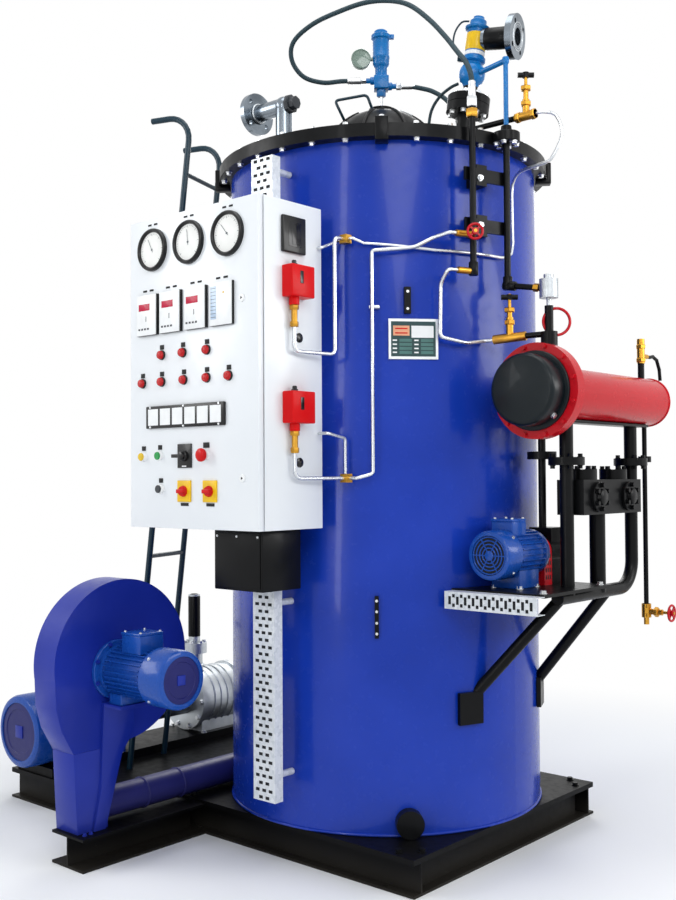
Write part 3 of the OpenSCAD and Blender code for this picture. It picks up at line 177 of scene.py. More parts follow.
Term = Union[Value, float, Sequence[float]]


class ShaderTree:
    """Node tree of one material or of the world, written as expressions."""

    def __init__(self, name: str, world: bool = False) -> None:
        """Makes an empty tree with one shader, Principled on a material and Background on the world.

        Args:
            name: Name of the material or the world.
            world: True for the world.
        """
        self.material = (bpy.data.worlds if world else bpy.data.materials).new(name)
        self.material.use_nodes = True
        self.tree = self.material.node_tree
        self.tree.nodes.clear()
        self.out = self.tree.nodes.new("ShaderNodeOutputWorld" if world else "ShaderNodeOutputMaterial")
        self.surface = self.tree.nodes.new("ShaderNodeBackground" if world else "ShaderNodeBsdfPrincipled")
        self.tree.links.new(self.surface.outputs[0], self.out.inputs["Surface"])

    def feed(self, socket: Socket, term: Term) -> None:
        """Links a value to a socket, or sets the socket to a number, colour or vector."""
        if isinstance(term, Value):
            self.tree.links.new(term.socket, socket)
        elif socket.type == "RGBA" and len(term) == 3:
            socket.default_value = (*term, 1.0)
        else:
            socket.default_value = term

    def node(self, kind: str, settings: Optional[dict] = None, inputs: Optional[dict] = None,
             output: Union[int, str] = 0) -> Value:
        """Adds any node.

        Args:
            kind: Type name of the node.
            settings: Its properties, which are set first; "stops" fills a colour ramp.
            inputs: Terms for its sockets, by name or number.
            output: The output that is returned.

        Returns:
            The chosen output as a value.
        """
        made = self.tree.nodes.new(kind)
        for key, setting in (settings or {}).items():
            if key == "stops":
                ramp = made.color_ramp.elements
                while len(ramp) < len(setting):
                    ramp.new(0.5)
                for element, (place, colour) in zip(ramp, setting):
                    element.position, element.color = place, (*colour, 1.0)
            else:
                setattr(made, key, setting)
        for key, term in (inputs or {}).items():
            self.feed(made.inputs[key], term)
        return Value(self, made.outputs[output])

    def place(self, stretch: Point = (1, 1, 1), kind: str = "Object") -> Value:
        """Returns the surface coordinates, stretched along the axes."""
        raw = self.node("ShaderNodeTexCoord", output=kind)
        return self.node("ShaderNodeMapping", inputs={"Vector": raw, "Scale": stretch})

    def axes(self, vector: Value) -> tuple[Value, Value, Value]:
        """Splits a vector into its three numbers."""
        first = self.node("ShaderNodeSeparateXYZ", inputs={"Vector": vector})
        outs = first.socket.node.outputs
        return first, Value(self, outs[1]), Value(self, outs[2])

    def noise(self, scale: float, detail: float = 3.0, vector: Optional[Value] = None) -> Value:
        """Returns noise from 0 to 1 at a scale given in cycles per metre."""
        return self.node("ShaderNodeTexNoise", inputs={
            "Vector": vector or self.place(), "Scale": scale, "Detail": detail})

    def mix(self, factor: Term, first: Term, second: Term) -> Value:
        """Returns the colour that goes from first to second with the factor."""
        return self.node("ShaderNodeMix", {"data_type": "RGBA"}, {0: factor, 6: first, 7: second}, 2)

    def dress(self, **sockets: Term) -> Material:
        """Feeds the Principled shader.

        Args:
            sockets: Terms by socket name, with _ for each space.

        Returns:
            The finished material.
        """
        for key, term in sockets.items():
            self.feed(self.surface.inputs[key.replace("_", " ")], term)
        return self.material

    def backdrop(self, kind: str, share: Term = 1.0) -> None:
        """Shows plain white to the camera, to glossy and to see-through rays, and the lit shader to others.

        Args:
            kind: Type name of the white shader.
            share: How much of the white shows, from 0 to 1.
        """
        seen = self.node("ShaderNodeLightPath", output="Is Camera Ray")
        rays = seen.socket.node.outputs
        for way in ("Is Glossy Ray", "Is Transmission Ray"):
            seen = seen.most(Value(self, rays[way]))
        lit, white = Value(self, self.surface.outputs[0]), self.node(kind, inputs={"Color": (1, 1, 1)})
        mixed = self.node("ShaderNodeMixShader", inputs={0: seen * share, 1: lit, 2: white})
        self.feed(self.out.inputs["Surface"], mixed)

    def bump(self, height: Value, distance: float, strength: float = 1.0) -> Value:
        """Returns the normal of a surface with that height, in metres for a height of 1."""
        return self.node("ShaderNodeBump", inputs={"Height": height, "Distance": distance, "Strength": strength})


DUST = srgb("8f8779")


@dataclass(frozen=True)
class Enamel:
    """Sprayed paint on steel, with orange peel, faded patches, chips and dust."""

    name: str
    colour: Colour
    chip: Colour = srgb("3a3836")
    roughness: float = 0.22
    coat: float = 0.6
    fade: float = 0.12
    chips: float = 0.0
    dust: float = 0.0
    dust_top: float = 0.35
    peel: float = 0.00012
    gloss: float = 0.22
    patch_scale: float = 2.3
    speck_scale: float = 38.0
    chip_scale: float = 140.0
    peel_scale: float = 420.0

    def make(self) -> Material:
        """Builds the material."""
        s = ShaderTree(self.name)
        wide, fine = s.noise(self.patch_scale, 4.0), s.noise(self.speck_scale, 5.0)
        pale = tuple(min(1.0, c * 1.35 + 0.02) for c in self.colour)
        deep = tuple(c * 0.72 for c in self.colour)
        tone = s.mix(wide.between(0.3, 0.7), deep, pale)
        colour = s.mix(self.fade, self.colour, tone) if self.fade else tone
        rough = self.roughness + 0.10 * fine.between(0.35, 0.75)
        coat: Term = self.coat
        if self.chips:
            specks = fine * 0.6 + 0.4 * s.noise(self.chip_scale, 2.0)
            chip = specks.between(0.70 - self.chips, 0.72 - self.chips)
            colour, rough = s.mix(chip, colour, self.chip), rough + 0.35 * chip
            coat = self.coat - self.coat * chip
        if self.dust:
            height = s.axes(s.place())[2]
            film = (1 - height.between(0.0, self.dust_top)) * (0.4 + 0.6 * wide) * self.dust
            colour, rough = s.mix(film, colour, DUST), rough + 0.4 * film
        return s.dress(Base_Color=colour, Roughness=rough, Coat_Weight=coat, Coat_Roughness=0.06,
                       Specular_IOR_Level=self.gloss, Normal=s.bump(s.noise(self.peel_scale, 1.0), self.peel))


@dataclass(frozen=True)
class Metal:
    """Bare or plated metal, drawn, brushed or cast, with tarnish in patches."""

    name: str
    colour: Colour
    tarnish: Colour
    roughness: float = 0.28
    patches: float = 0.35
    grain: Point = (1, 1, 1)
    grain_scale: float = 160.0
    patch_scale: float = 9.0
    relief: float = 0.00008

    def make(self) -> Material:
        """Builds the material."""
        s = ShaderTree(self.name)
        grain = s.noise(self.grain_scale, 3.0, s.place(self.grain))
        worn = s.noise(self.patch_scale, 5.0).between(0.45, 0.75)
        colour = s.mix(worn * self.patches, self.colour, self.tarnish)
        return s.dress(Base_Color=colour, Metallic=1.0 - 0.25 * worn,
                       Roughness=self.roughness + 0.16 * grain + 0.18 * worn * self.patches,
                       Normal=s.bump(grain, self.relief))


@dataclass(frozen=True)
class Galvanised:
    """Zinc sheet with its spangle of crystals."""

    name: str
    colour: Colour = srgb("e4e8eb")
    shade: Colour = srgb("cdd3d8")
    crystal_scale: float = 95.0
    wave_scale: float = 60.0

    def make(self) -> Material:
        """Builds the material."""
        s = ShaderTree(self.name)
        cell = s.node("ShaderNodeTexVoronoi", {"feature": "F1"},
                      {"Vector": s.place(), "Scale": self.crystal_scale}, "Color")
        tint = s.axes(cell)[0]
        return s.dress(Base_Color=s.mix(tint, self.colour, self.shade), Metallic=0.25,
                       Roughness=0.34 + 0.22 * tint, Normal=s.bump(s.noise(self.wave_scale), 0.0002))


@dataclass(frozen=True)
class Moulding:
    """Moulded plastic or card with a fine grain."""

    name: str
    colour: Colour
    roughness: float = 0.4
    coat: float = 0.0
    grain: float = 0.00006
    shade: float = 0.85
    gloss: float = 0.3
    grain_scale: float = 900.0
    patch_scale: float = 30.0

    def make(self) -> Material:
        """Builds the material."""
        s = ShaderTree(self.name)
        grain, patch = s.noise(self.grain_scale, 2.0), s.noise(self.patch_scale, 4.0)
        dim = tuple(c * self.shade for c in self.colour)
        return s.dress(Base_Color=s.mix(patch.between(0.3, 0.75), self.colour, dim),
                       Roughness=self.roughness + 0.12 * patch, Coat_Weight=self.coat,
                       Specular_IOR_Level=self.gloss, Normal=s.bump(grain, self.grain))


@dataclass(frozen=True)
class Lens:
    """Ribbed coloured lens of a signal lamp."""

    name: str
    colour: Colour
    rib_scale: float = 2600.0
    glow_scale: float = 45.0

    def make(self) -> Material:
        """Builds the material."""
        s = ShaderTree(self.name)
        x, _, z = s.axes(s.place())
        ribs = (x * self.rib_scale).sine() * (z * self.rib_scale).sine()
        glow = s.noise(self.glow_scale)
        return s.dress(Base_Color=s.mix(glow, self.colour, tuple(c * 0.75 for c in self.colour)),
                       Roughness=0.16 + 0.1 * glow, Coat_Weight=0.25, Specular_IOR_Level=0.2,
                       Normal=s.bump(ribs, 0.0002))


@dataclass(frozen=True)
class Braid:
    """Braided cover of a pressure hose, woven along the piece's own UV map."""

    name: str
    colour: Colour
    light: Colour
    strands: int = 8
    pitch: float = 900.0

    def make(self) -> Material:
        """Builds the material."""
        s = ShaderTree(self.name)
        u, v, _ = s.axes(s.node("ShaderNodeTexCoord", output="UV"))
        turn, run = u * (self.strands * 2 * math.pi), v * self.pitch
        weave = (turn + run).sine() * (turn - run).sine()
        strand = weave.between(-0.4, 0.6)
        return s.dress(Base_Color=s.mix(strand, self.colour, self.light), Roughness=0.5 + 0.15 * s.noise(70.0),
                       Normal=s.bump(weave, 0.0006))


class GeoTree:
    """A Geometry Nodes tree with named inputs for its sizes."""

    KINDS = {float: "NodeSocketFloat", int: "NodeSocketInt"}

    def __init__(self, name: str, sizes: dict[str, Union[int, float]]) -> None:
        """Makes an empty tree.

        Args:
            name: Name of the tree.
            sizes: Its number inputs with their defaults.
        """
        self.group = bpy.data.node_groups.new(name, "GeometryNodeTree")
        face = self.group.interface
        face.new_socket("Geometry", in_out="INPUT", socket_type="NodeSocketGeometry")
        face.new_socket("Geometry", in_out="OUTPUT", socket_type="NodeSocketGeometry")
        for key, default in sizes.items():
            face.new_socket(key, in_out="INPUT", socket_type=self.KINDS[type(default)]).default_value = default
        face.new_socket("Finish", in_out="INPUT", socket_type="NodeSocketMaterial")
        self.start = self.group.nodes.new("NodeGroupInput")

    def size(self, name: str) -> Socket:
        """Returns the named input of the tree."""
        return self.start.outputs[name]

    def node(self, kind: str, settings: Optional[dict] = None, inputs: Optional[dict] = None,
             output: Union[int, str] = 0) -> Socket:
        """Adds any node and returns one of its outputs.

        Args:
            kind: Type name of the node.
            settings: Its properties, which are set first.
            inputs: Sockets or plain values for its inputs, by name or number.
            output: The output that is returned.

        Returns:
            That output.
        """
        made = self.group.nodes.new(kind)
        for key, setting in (settings or {}).items():
            setattr(made, key, setting)
        for key, term in (inputs or {}).items():
            for one in term if isinstance(term, list) else [term]:
                if isinstance(one, Socket):
                    self.group.links.new(one, made.inputs[key])
                else:
                    made.inputs[key].default_value = one
        return made.outputs[output]

    def calc(self, operation: str, *terms: Number) -> Socket:
        """Adds one Math node over the terms."""
        return self.node("ShaderNodeMath", {"operation": operation}, dict(enumerate(terms)))

    def vector(self, x: Number = 0.0, y: Number = 0.0, z: Number = 0.0) -> Socket:
        """Joins three numbers into a vector."""
        return self.node("ShaderNodeCombineXYZ", inputs={"X": x, "Y": y, "Z": z})

    def cube(self, x: Number, y: Number, z: Number) -> Socket:
        """Adds a box of those sizes."""
        return self.node("GeometryNodeMeshCube", inputs={"Size": self.vector(x, y, z)}, output="Mesh")

    def disc(self, sides: Number, radius: Number, depth: Number, lift: Number) -> Socket:
        """Adds an upright prism whose middle stands at a height."""
        made = self.node("GeometryNodeMeshCylinder", {"fill_type": "NGON"},
                         {"Vertices": sides, "Radius": radius, "Depth": depth}, "Mesh")
        return self.move(made, z=lift)

    def move(self, geometry: Socket, x: Number = 0.0, z: Number = 0.0) -> Socket:
        """Moves geometry along X and Z."""
        way = self.vector(x, 0.0, z)
        return self.node("GeometryNodeTransform", inputs={"Geometry": geometry, "Translation": way})

    def scatter(self, points: Socket, instance: Socket, **inputs: Socket) -> "GeoTree":
        """Closes the tree with an instance on each point; inputs may hold its Rotation."""
        return self.end(self.node("GeometryNodeInstanceOnPoints", inputs={
            "Points": points, "Instance": instance, **inputs}))

    def end(self, geometry: Socket) -> "GeoTree":
        """Closes the tree with Realize Instances and Set Material."""
        real = self.node("GeometryNodeRealizeInstances", inputs={"Geometry": geometry})
        done = self.node("GeometryNodeSetMaterial", inputs={"Geometry": real, "Material": self.size("Finish")})
        out = self.group.nodes.new("NodeGroupOutput")
        self.group.links.new(done, out.inputs[0])
        return self

    def grow(self, finish: Material, source: Optional[Mesh] = None, **sizes: Union[int, float]) -> Mesh:
        """Runs the tree once.

        Args:
            finish: Material of the result.
            source: Mesh that the tree reads.
            sizes: Values of the named inputs, with _ for each space.

        Returns:
            The result as a plain mesh.
        """
        host = stand("grow", source or bpy.data.meshes.new("grow"))
        modifier = host.modifiers.new("grow", "NODES")
        modifier.node_group = self.group
        given = {key.replace("_", " "): value for key, value in sizes.items()}
        for item in self.group.interface.items_tree:
            if item.in_out == "INPUT" and item.name in given:
                modifier[item.identifier] = given.pop(item.name)
            elif item.in_out == "INPUT" and item.name == "Finish":
                modifier[item.identifier] = finish
        if given:
            raise KeyError(f"{self.group.name} has no input named {sorted(given)}")
        graph = bpy.context.evaluated_depsgraph_get()
        mesh = bpy.data.meshes.new_from_object(host.evaluated_get(graph), depsgraph=graph)
        host.modifiers.clear()
        bpy.data.objects.remove(host)
        return mesh


class Trees:
    """The Geometry Nodes trees of the scene, each built once."""

    def __init__(self) -> None:
        """Builds all trees."""
        self.fastener = self._fastener()
        self.ring = self._ring()
        self.grid = self._grid()
        self.marks = self._marks()
        self.wire = self._wire()

    def _fastener(self) -> GeoTree:
        """Screw heads with washers on points, each turned to the point's own aim."""
        t = GeoTree("fasteners", {"Head Radius": 0.009, "Head Height": 0.007, "Sides": 6, "Washer Radius": 0.012,
                                  "Washer Height": 0.002, "Seed": 3})
        thick, tall = t.size("Washer Height"), t.size("Head Height")
        lift = t.calc("ADD", thick, t.calc("MULTIPLY", tall, 0.5))
        head = t.disc(t.size("Sides"), t.size("Head Radius"), tall, lift)
        washer = t.disc(16, t.size("Washer Radius"), thick, t.calc("MULTIPLY", thick, 0.5))
        screw = t.node("GeometryNodeJoinGeometry", inputs={"Geometry": [head, washer]})
        way = t.node("GeometryNodeInputNamedAttribute", {"data_type": "FLOAT_VECTOR"}, {"Name": "aim"})
        turn = t.node("FunctionNodeAlignRotationToVector", {"axis": "Z"}, {"Vector": way})
        spin = t.node("FunctionNodeRandomValue", {"data_type": "FLOAT"}, {3: math.pi, "Seed": t.size("Seed")}, 1)
        roll = t.node("FunctionNodeAxisAngleToRotation", inputs={"Axis": (0, 0, 1), "Angle": spin})
        turn = t.node("FunctionNodeRotateRotation", {"rotation_space": "LOCAL"}, {0: turn, 1: roll})
        return t.scatter(t.size("Geometry"), screw, Rotation=turn)

    def _ring(self) -> GeoTree:
        """Bars that stand outwards on a circle, such as cooling fins or the spokes of a guard."""
        t = GeoTree("bars_on_a_ring", {"Count": 24, "Radius": 0.07, "Reach": 0.01, "Width": 0.003, "Length": 0.1})
        angle = t.calc("DIVIDE", 2 * math.pi, t.size("Count"))
        spots = t.node("GeometryNodePoints", inputs={"Count": t.size("Count")})
        order = t.node("GeometryNodeInputIndex")
        turn = t.vector(z=t.calc("MULTIPLY", order, angle))
        bar = t.move(t.cube(t.size("Reach"), t.size("Width"), t.size("Length")),
                     t.calc("ADD", t.size("Radius"), t.calc("MULTIPLY", t.size("Reach"), 0.5)),
                     t.calc("MULTIPLY", t.size("Length"), 0.5))
        return t.scatter(spots, bar, Rotation=turn)

    def _grid(self) -> GeoTree:
        """Blocks in rows and columns, such as the slots of a tray."""
        t = GeoTree("blocks_in_rows", {"Columns": 10, "Rows": 2, "Pitch X": 0.03, "Pitch Y": 0.02, "Width": 0.006,
                                       "Height": 0.016, "Depth": 0.002})
        wide = t.calc("MULTIPLY", t.size("Pitch X"), t.calc("SUBTRACT", t.size("Columns"), 1.0))
        high = t.calc("MULTIPLY", t.size("Pitch Y"), t.calc("SUBTRACT", t.size("Rows"), 1.0))
        spots = t.node("GeometryNodeMeshGrid", inputs={
            "Size X": wide, "Size Y": high, "Vertices X": t.size("Columns"), "Vertices Y": t.size("Rows")},
            output="Mesh")
        return t.scatter(spots, t.cube(t.size("Width"), t.size("Height"), t.size("Depth")))

    def _marks(self) -> GeoTree:
        """Scale marks of a dial along an arc that is open at the bottom."""
        t = GeoTree("dial_marks", {"Count": 11, "Radius": 0.045, "Length": 0.006, "Width": 0.001, "Sweep": 4.7})
        order = t.node("GeometryNodeInputIndex")
        step = t.calc("DIVIDE", t.size("Sweep"), t.calc("SUBTRACT", t.size("Count"), 1.0))
        first = t.calc("SUBTRACT", math.pi / 2, t.calc("MULTIPLY", t.size("Sweep"), 0.5))
        turn = t.vector(z=t.calc("ADD", first, t.calc("MULTIPLY", order, step)))
        spots = t.node("GeometryNodePoints", inputs={"Count": t.size("Count")})
        mark = t.move(t.cube(t.size("Length"), t.size("Width"), 0.0004), t.size("Radius"))
        return t.scatter(spots, mark, Rotation=turn)

    def _wire(self) -> GeoTree:
        """Round wire along the edges of a polyline mesh."""
        t = GeoTree("wire", {"Radius": 0.003, "Sides": 10, "Step": 0.006})
        line = t.node("GeometryNodeMeshToCurve", inputs={"Mesh": t.size("Geometry")})
        line = t.node("GeometryNodeResampleCurve", {"mode": "LENGTH"}, {"Curve": line, "Length": t.size("Step")})
        ring = t.node("GeometryNodeCurvePrimitiveCircle", inputs={
            "Resolution": t.size("Sides"), "Radius": t.size("Radius")}, output="Curve")
        return t.end(t.node("GeometryNodeCurveToMesh", inputs={
            "Curve": line, "Profile Curve": ring, "Fill Caps": True}))


class Piece:
    """One mesh of the scene, gathered from shapes and handed to a body."""

    SHARP = 38.0
    MERGE = 2e-5
    FLAT = math.radians(0.4)
    CORNER = math.radians(50)

    def __init__(self, name: str, finish: Material, slot: str, body: Body = Body.BOILER) -> None:
        """Starts an empty piece.

        Args:
            name: Name of the piece.
            finish: Its material.
            slot: Material slot of the record; kept on the piece but not used.
            body: Body that it rides on.
        """
        self.name, self.finish, self.slot, self.body = name, finish, slot, body
        self.work = bmesh.new()

    def take(self, mesh: Mesh, place: Matrix = Matrix()) -> "Piece":
        """Adds a plain mesh at a placement and deletes it."""
        mesh.transform(place)
        self.work.from_mesh(mesh)
        bpy.data.meshes.remove(mesh)
        return self

    def copy(self, node: str, edge: float = 0.0) -> "Piece":
        """Adds a merged copy of a node's mesh.

        Args:
            node: Name of the node.
            edge: Radius that its long sharp edges are rounded to.

        Returns:
            The piece itself.
        """
        one = bmesh.new()
        one.from_mesh(frame["nodes"][node].data)
        bmesh.ops.remove_doubles(one, verts=one.verts, dist=self.MERGE)
        bmesh.ops.dissolve_limit(one, angle_limit=self.FLAT, verts=one.verts, edges=one.edges)
        if edge:
            sharp = [e for e in one.edges if len(e.link_faces) == 2 and e.calc_length() > 4 * edge
                     and e.calc_face_angle(0.0) > self.CORNER]
            bmesh.ops.bevel(one, geom=sharp, offset=edge, segments=2, profile=0.5, affect="EDGES",
                            clamp_overlap=True)
        mesh = bpy.data.meshes.new(node)
        one.to_mesh(mesh)
        one.free()
        return self.take(mesh)

    def lathe(self, profile: Profile, place: Matrix = Matrix(), sides: int = 40) -> "Piece":
        """Adds a turned shape.

        Args:
            profile: Radius and height of each ring, from the first cap to the last.
            place: Placement whose +Z is the turning axis.
            sides: Number of sides.

        Returns:
            The piece itself.
        """
        turns = [2 * math.pi * k / sides for k in range(sides)]
        rings = [[self.work.verts.new(place @ Vector((radius * math.cos(a), radius * math.sin(a), z)))
                  for a in turns] for radius, z in profile]
        faces = []
        for low, high in zip(rings, rings[1:]):
            for k in range(sides):
                m = (k + 1) % sides
                faces.append(self.work.faces.new((low[k], low[m], high[m], high[k])))
        faces.append(self.work.faces.new(rings[0][::-1]))
        faces.append(self.work.faces.new(rings[-1]))
        bmesh.ops.recalc_face_normals(self.work, faces=faces)
        return self

    def collar(self, radius: float, low: float, high: float, lip: float, place: Matrix, sides: int = 6,
               step: float = 0.002) -> "Piece":
        """Adds a nut or a sleeve with chamfered ends.

        Args:
            radius: Its outer radius.
            low: Height of its first end.
            high: Height of its last end.
            lip: How far the ends are drawn in.
            place: Placement whose +Z is its axis.
            sides: Number of sides.
            step: Height of the chamfers.

        Returns:
            The piece itself.
        """
        neck = radius - lip
        return self.lathe([(neck, low), (radius, low + step), (radius, high - step), (neck, high)], place, sides)

    def grid(self, trees: "Trees", place: Matrix, count: tuple[int, int], pitch: Pair,
             size: Point) -> "Piece":
        """Adds blocks in columns and rows about the placement's origin.

        Args:
            trees: The node trees.
            place: Placement whose XY plane holds the rows.
            count: Numbers of columns and of rows.
            pitch: Distances between columns and between rows.
            size: Width, height and depth of a block.

        Returns:
            The piece itself.
        """
        return self.take(trees.grid.grow(
            self.finish, Columns=count[0], Rows=count[1], Pitch_X=pitch[0], Pitch_Y=pitch[1],
            Width=size[0], Height=size[1], Depth=size[2]), place)

    def wire(self, trees: "Trees", points: Iterable[Sequence[float]], radius: float, step: float) -> "Piece":
        """Adds round wire through the points, in parts of the step's length."""
        return self.take(trees.wire.grow(self.finish, polyline(points), Radius=radius, Step=step))

    def block(self, low: Sequence[float], high: Sequence[float], edge: float = 0.0,
              place: Matrix = Matrix()) -> "Piece":
        """Adds a box between two corners, with rounded edges.

        Args:
            low: Lowest corner.
            high: Highest corner.
            edge: Radius of the edges.
            place: Placement of the box.

        Returns:
            The piece itself.
        """
        size = Vector(high) - Vector(low)
        middle = (Vector(high) + Vector(low)) / 2
        one = bmesh.new()
        bmesh.ops.create_cube(one, size=1.0)
        bmesh.ops.scale(one, vec=size, verts=one.verts)
        if edge:
            bmesh.ops.bevel(one, geom=one.edges[:], offset=edge, segments=3, profile=0.5, affect="EDGES")
        bmesh.ops.translate(one, vec=middle, verts=one.verts)
        mesh = bpy.data.meshes.new("block")
        one.to_mesh(mesh)
        one.free()
        return self.take(mesh, place)

    def torus(self, radius: float, section: float, place: Matrix, sides: int = 56, around: int = 12) -> "Piece":
        """Adds a ring of round section about the placement's +Z."""
        rows = []
        for k in range(sides):
            out = polar(1.0, 360 * k / sides, 0)
            spots = [2 * math.pi * j / around for j in range(around)]
            rows.append([self.work.verts.new(place @ (out * (radius + section * math.cos(b))
                                                      + UP * section * math.sin(b))) for b in spots])
        faces = []
        for row, ahead in zip(rows, rows[1:] + rows[:1]):
            for j in range(around):
                m = (j + 1) % around
                faces.append(self.work.faces.new((row[j], ahead[j], ahead[m], row[m])))
        bmesh.ops.recalc_face_normals(self.work, faces=faces)
        return self

    def close(self, *replaced: str, sharp: float = SHARP) -> Object:
        """Turns the piece into an object that rides on its body.

        Args:
            replaced: Nodes of the part that this piece stands for.
            sharp: Angle between faces, in degrees, past which an edge stays sharp.

        Returns:
            The finished object.
        """
        mesh = bpy.data.meshes.new(self.name)
        self.work.to_mesh(mesh)
        self.work.free()
        mesh.materials.clear()
        mesh.materials.append(self.finish)
        for face in mesh.polygons:
            face.material_index = 0
            face.use_smooth = True
        mesh.set_sharp_from_angle(angle=math.radians(sharp))
        made = stand(self.name, mesh)
        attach(made, self.body.value)
        if replaced:
            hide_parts(*replaced)
        LOG.info("%s: %d faces on %s", self.name, len(mesh.polygons), self.body.value)
        return made


def polyline(points: Iterable[Sequence[float]]) -> Mesh:
    """Makes a mesh of edges through the points, for the wire tree."""
    spots = [tuple(p) for p in points]
    mesh = bpy.data.meshes.new("polyline")
    mesh.from_pydata(spots, [(k, k + 1) for k in range(len(spots) - 1)], [])
    return mesh


def curve_through(points: Sequence[Sequence[float]], steps: int) -> list[Vector]:
    """Runs a smooth line through the points.

    Args:
        points: Points that the line passes.
        steps: Number of parts between two points.

    Returns:
        The points of the line, the given ones among them.
    """
    p = [Vector(q) for q in points]
    line = []
    for i in range(len(p) - 1):
        a, b, c, d = p[max(i - 1, 0)], p[i], p[i + 1], p[min(i + 2, len(p) - 1)]
        for k in range(steps):
            t = k / steps
            line.append(0.5 * (2 * b + (c - a) * t + (2 * a - 5 * b + 4 * c - d) * t * t
                               + (3 * b - a - 3 * c + d) * t ** 3))
    return line + [p[-1]]


class Head(Enum):
    """Screw heads: radius, height, sides, washer radius and washer height."""

    BOLT = (0.009, 0.007, 6, 0.012, 0.002)
    RIM = (0.0085, 0.008, 6, 0.011, 0.002)
    DECK = (0.0095, 0.008, 6, 0.013, 0.002)
    VALVE = (0.0085, 0.008, 6, 0.0105, 0.002)
    PIPE = (0.008, 0.007, 6, 0.010, 0.002)
    CAP = (0.008, 0.006, 6, 0.010, 0.002)
    POST = (0.0075, 0.009, 6, 0.0095, 0.002)
    HEATER = (0.0065, 0.006, 6, 0.0085, 0.002)
    FAN = (0.0055, 0.005, 6, 0.0075, 0.002)
    COWL = (0.0042, 0.003, 12, 0.0052, 0.0008)
    LUG = (0.0035, 0.002, 12, 0.0042, 0.0004)
    SIGNAL = (0.0032, 0.0016, 12, 0.0034, 0.0004)
    LID = (0.0028, 0.002, 12, 0.0035, 0.0006)
    RIVET = (0.0028, 0.0014, 12, 0.003, 0.0003)


class Screws:
    """Screw heads of one size on one body, gathered point by point."""

    def __init__(self, trees: Trees) -> None:
        """Starts with no screws."""
        self.trees = trees
        self.spots: list[Vector] = []
        self.aims: list[Vector] = []

    def at(self, spot: Sequence[float], axis: Sequence[float]) -> "Screws":
        """Adds one screw that stands on a spot along an axis."""
        self.spots.append(Vector(spot))
        self.aims.append(Vector(axis).normalized())
        return self

    def circle(self, place: Matrix, radius: float, count: int, start: float = 0.0) -> "Screws":
        """Adds screws on a circle about the placement's +Z, from a start angle in degrees."""
        for k in range(count):
            a = math.radians(start + 360 * k / count)
            self.at(place @ Vector((radius * math.cos(a), radius * math.sin(a), 0)), place.to_3x3() @ UP)
        return self

    def close(self, name: str, finish: Material, slot: str, head: Head = Head.BOLT,
              body: Body = Body.BOILER) -> Object:
        """Grows the screws as one piece.

        Args:
            name: Name of the piece.
            finish: Its material.
            slot: Material slot of the record; handed on to the piece, which does not use it.
            head: Size of the heads.
            body: Body that it rides on.

        Returns:
            The finished object.
        """
        points = bpy.data.meshes.new("spots")
        points.from_pydata([tuple(s) for s in self.spots], [], [])
        held = points.attributes.new("aim", "FLOAT_VECTOR", "POINT")
        held.data.foreach_set("vector", [c for a in self.aims for c in a])
        radius, height, sides, washer, thick = head.value
        mesh = self.trees.fastener.grow(finish, points, Head_Radius=radius, Head_Height=height, Sides=sides,
                                        Washer_Radius=washer, Washer_Height=thick)
        return Piece(name, finish, slot, body).take(mesh).close()


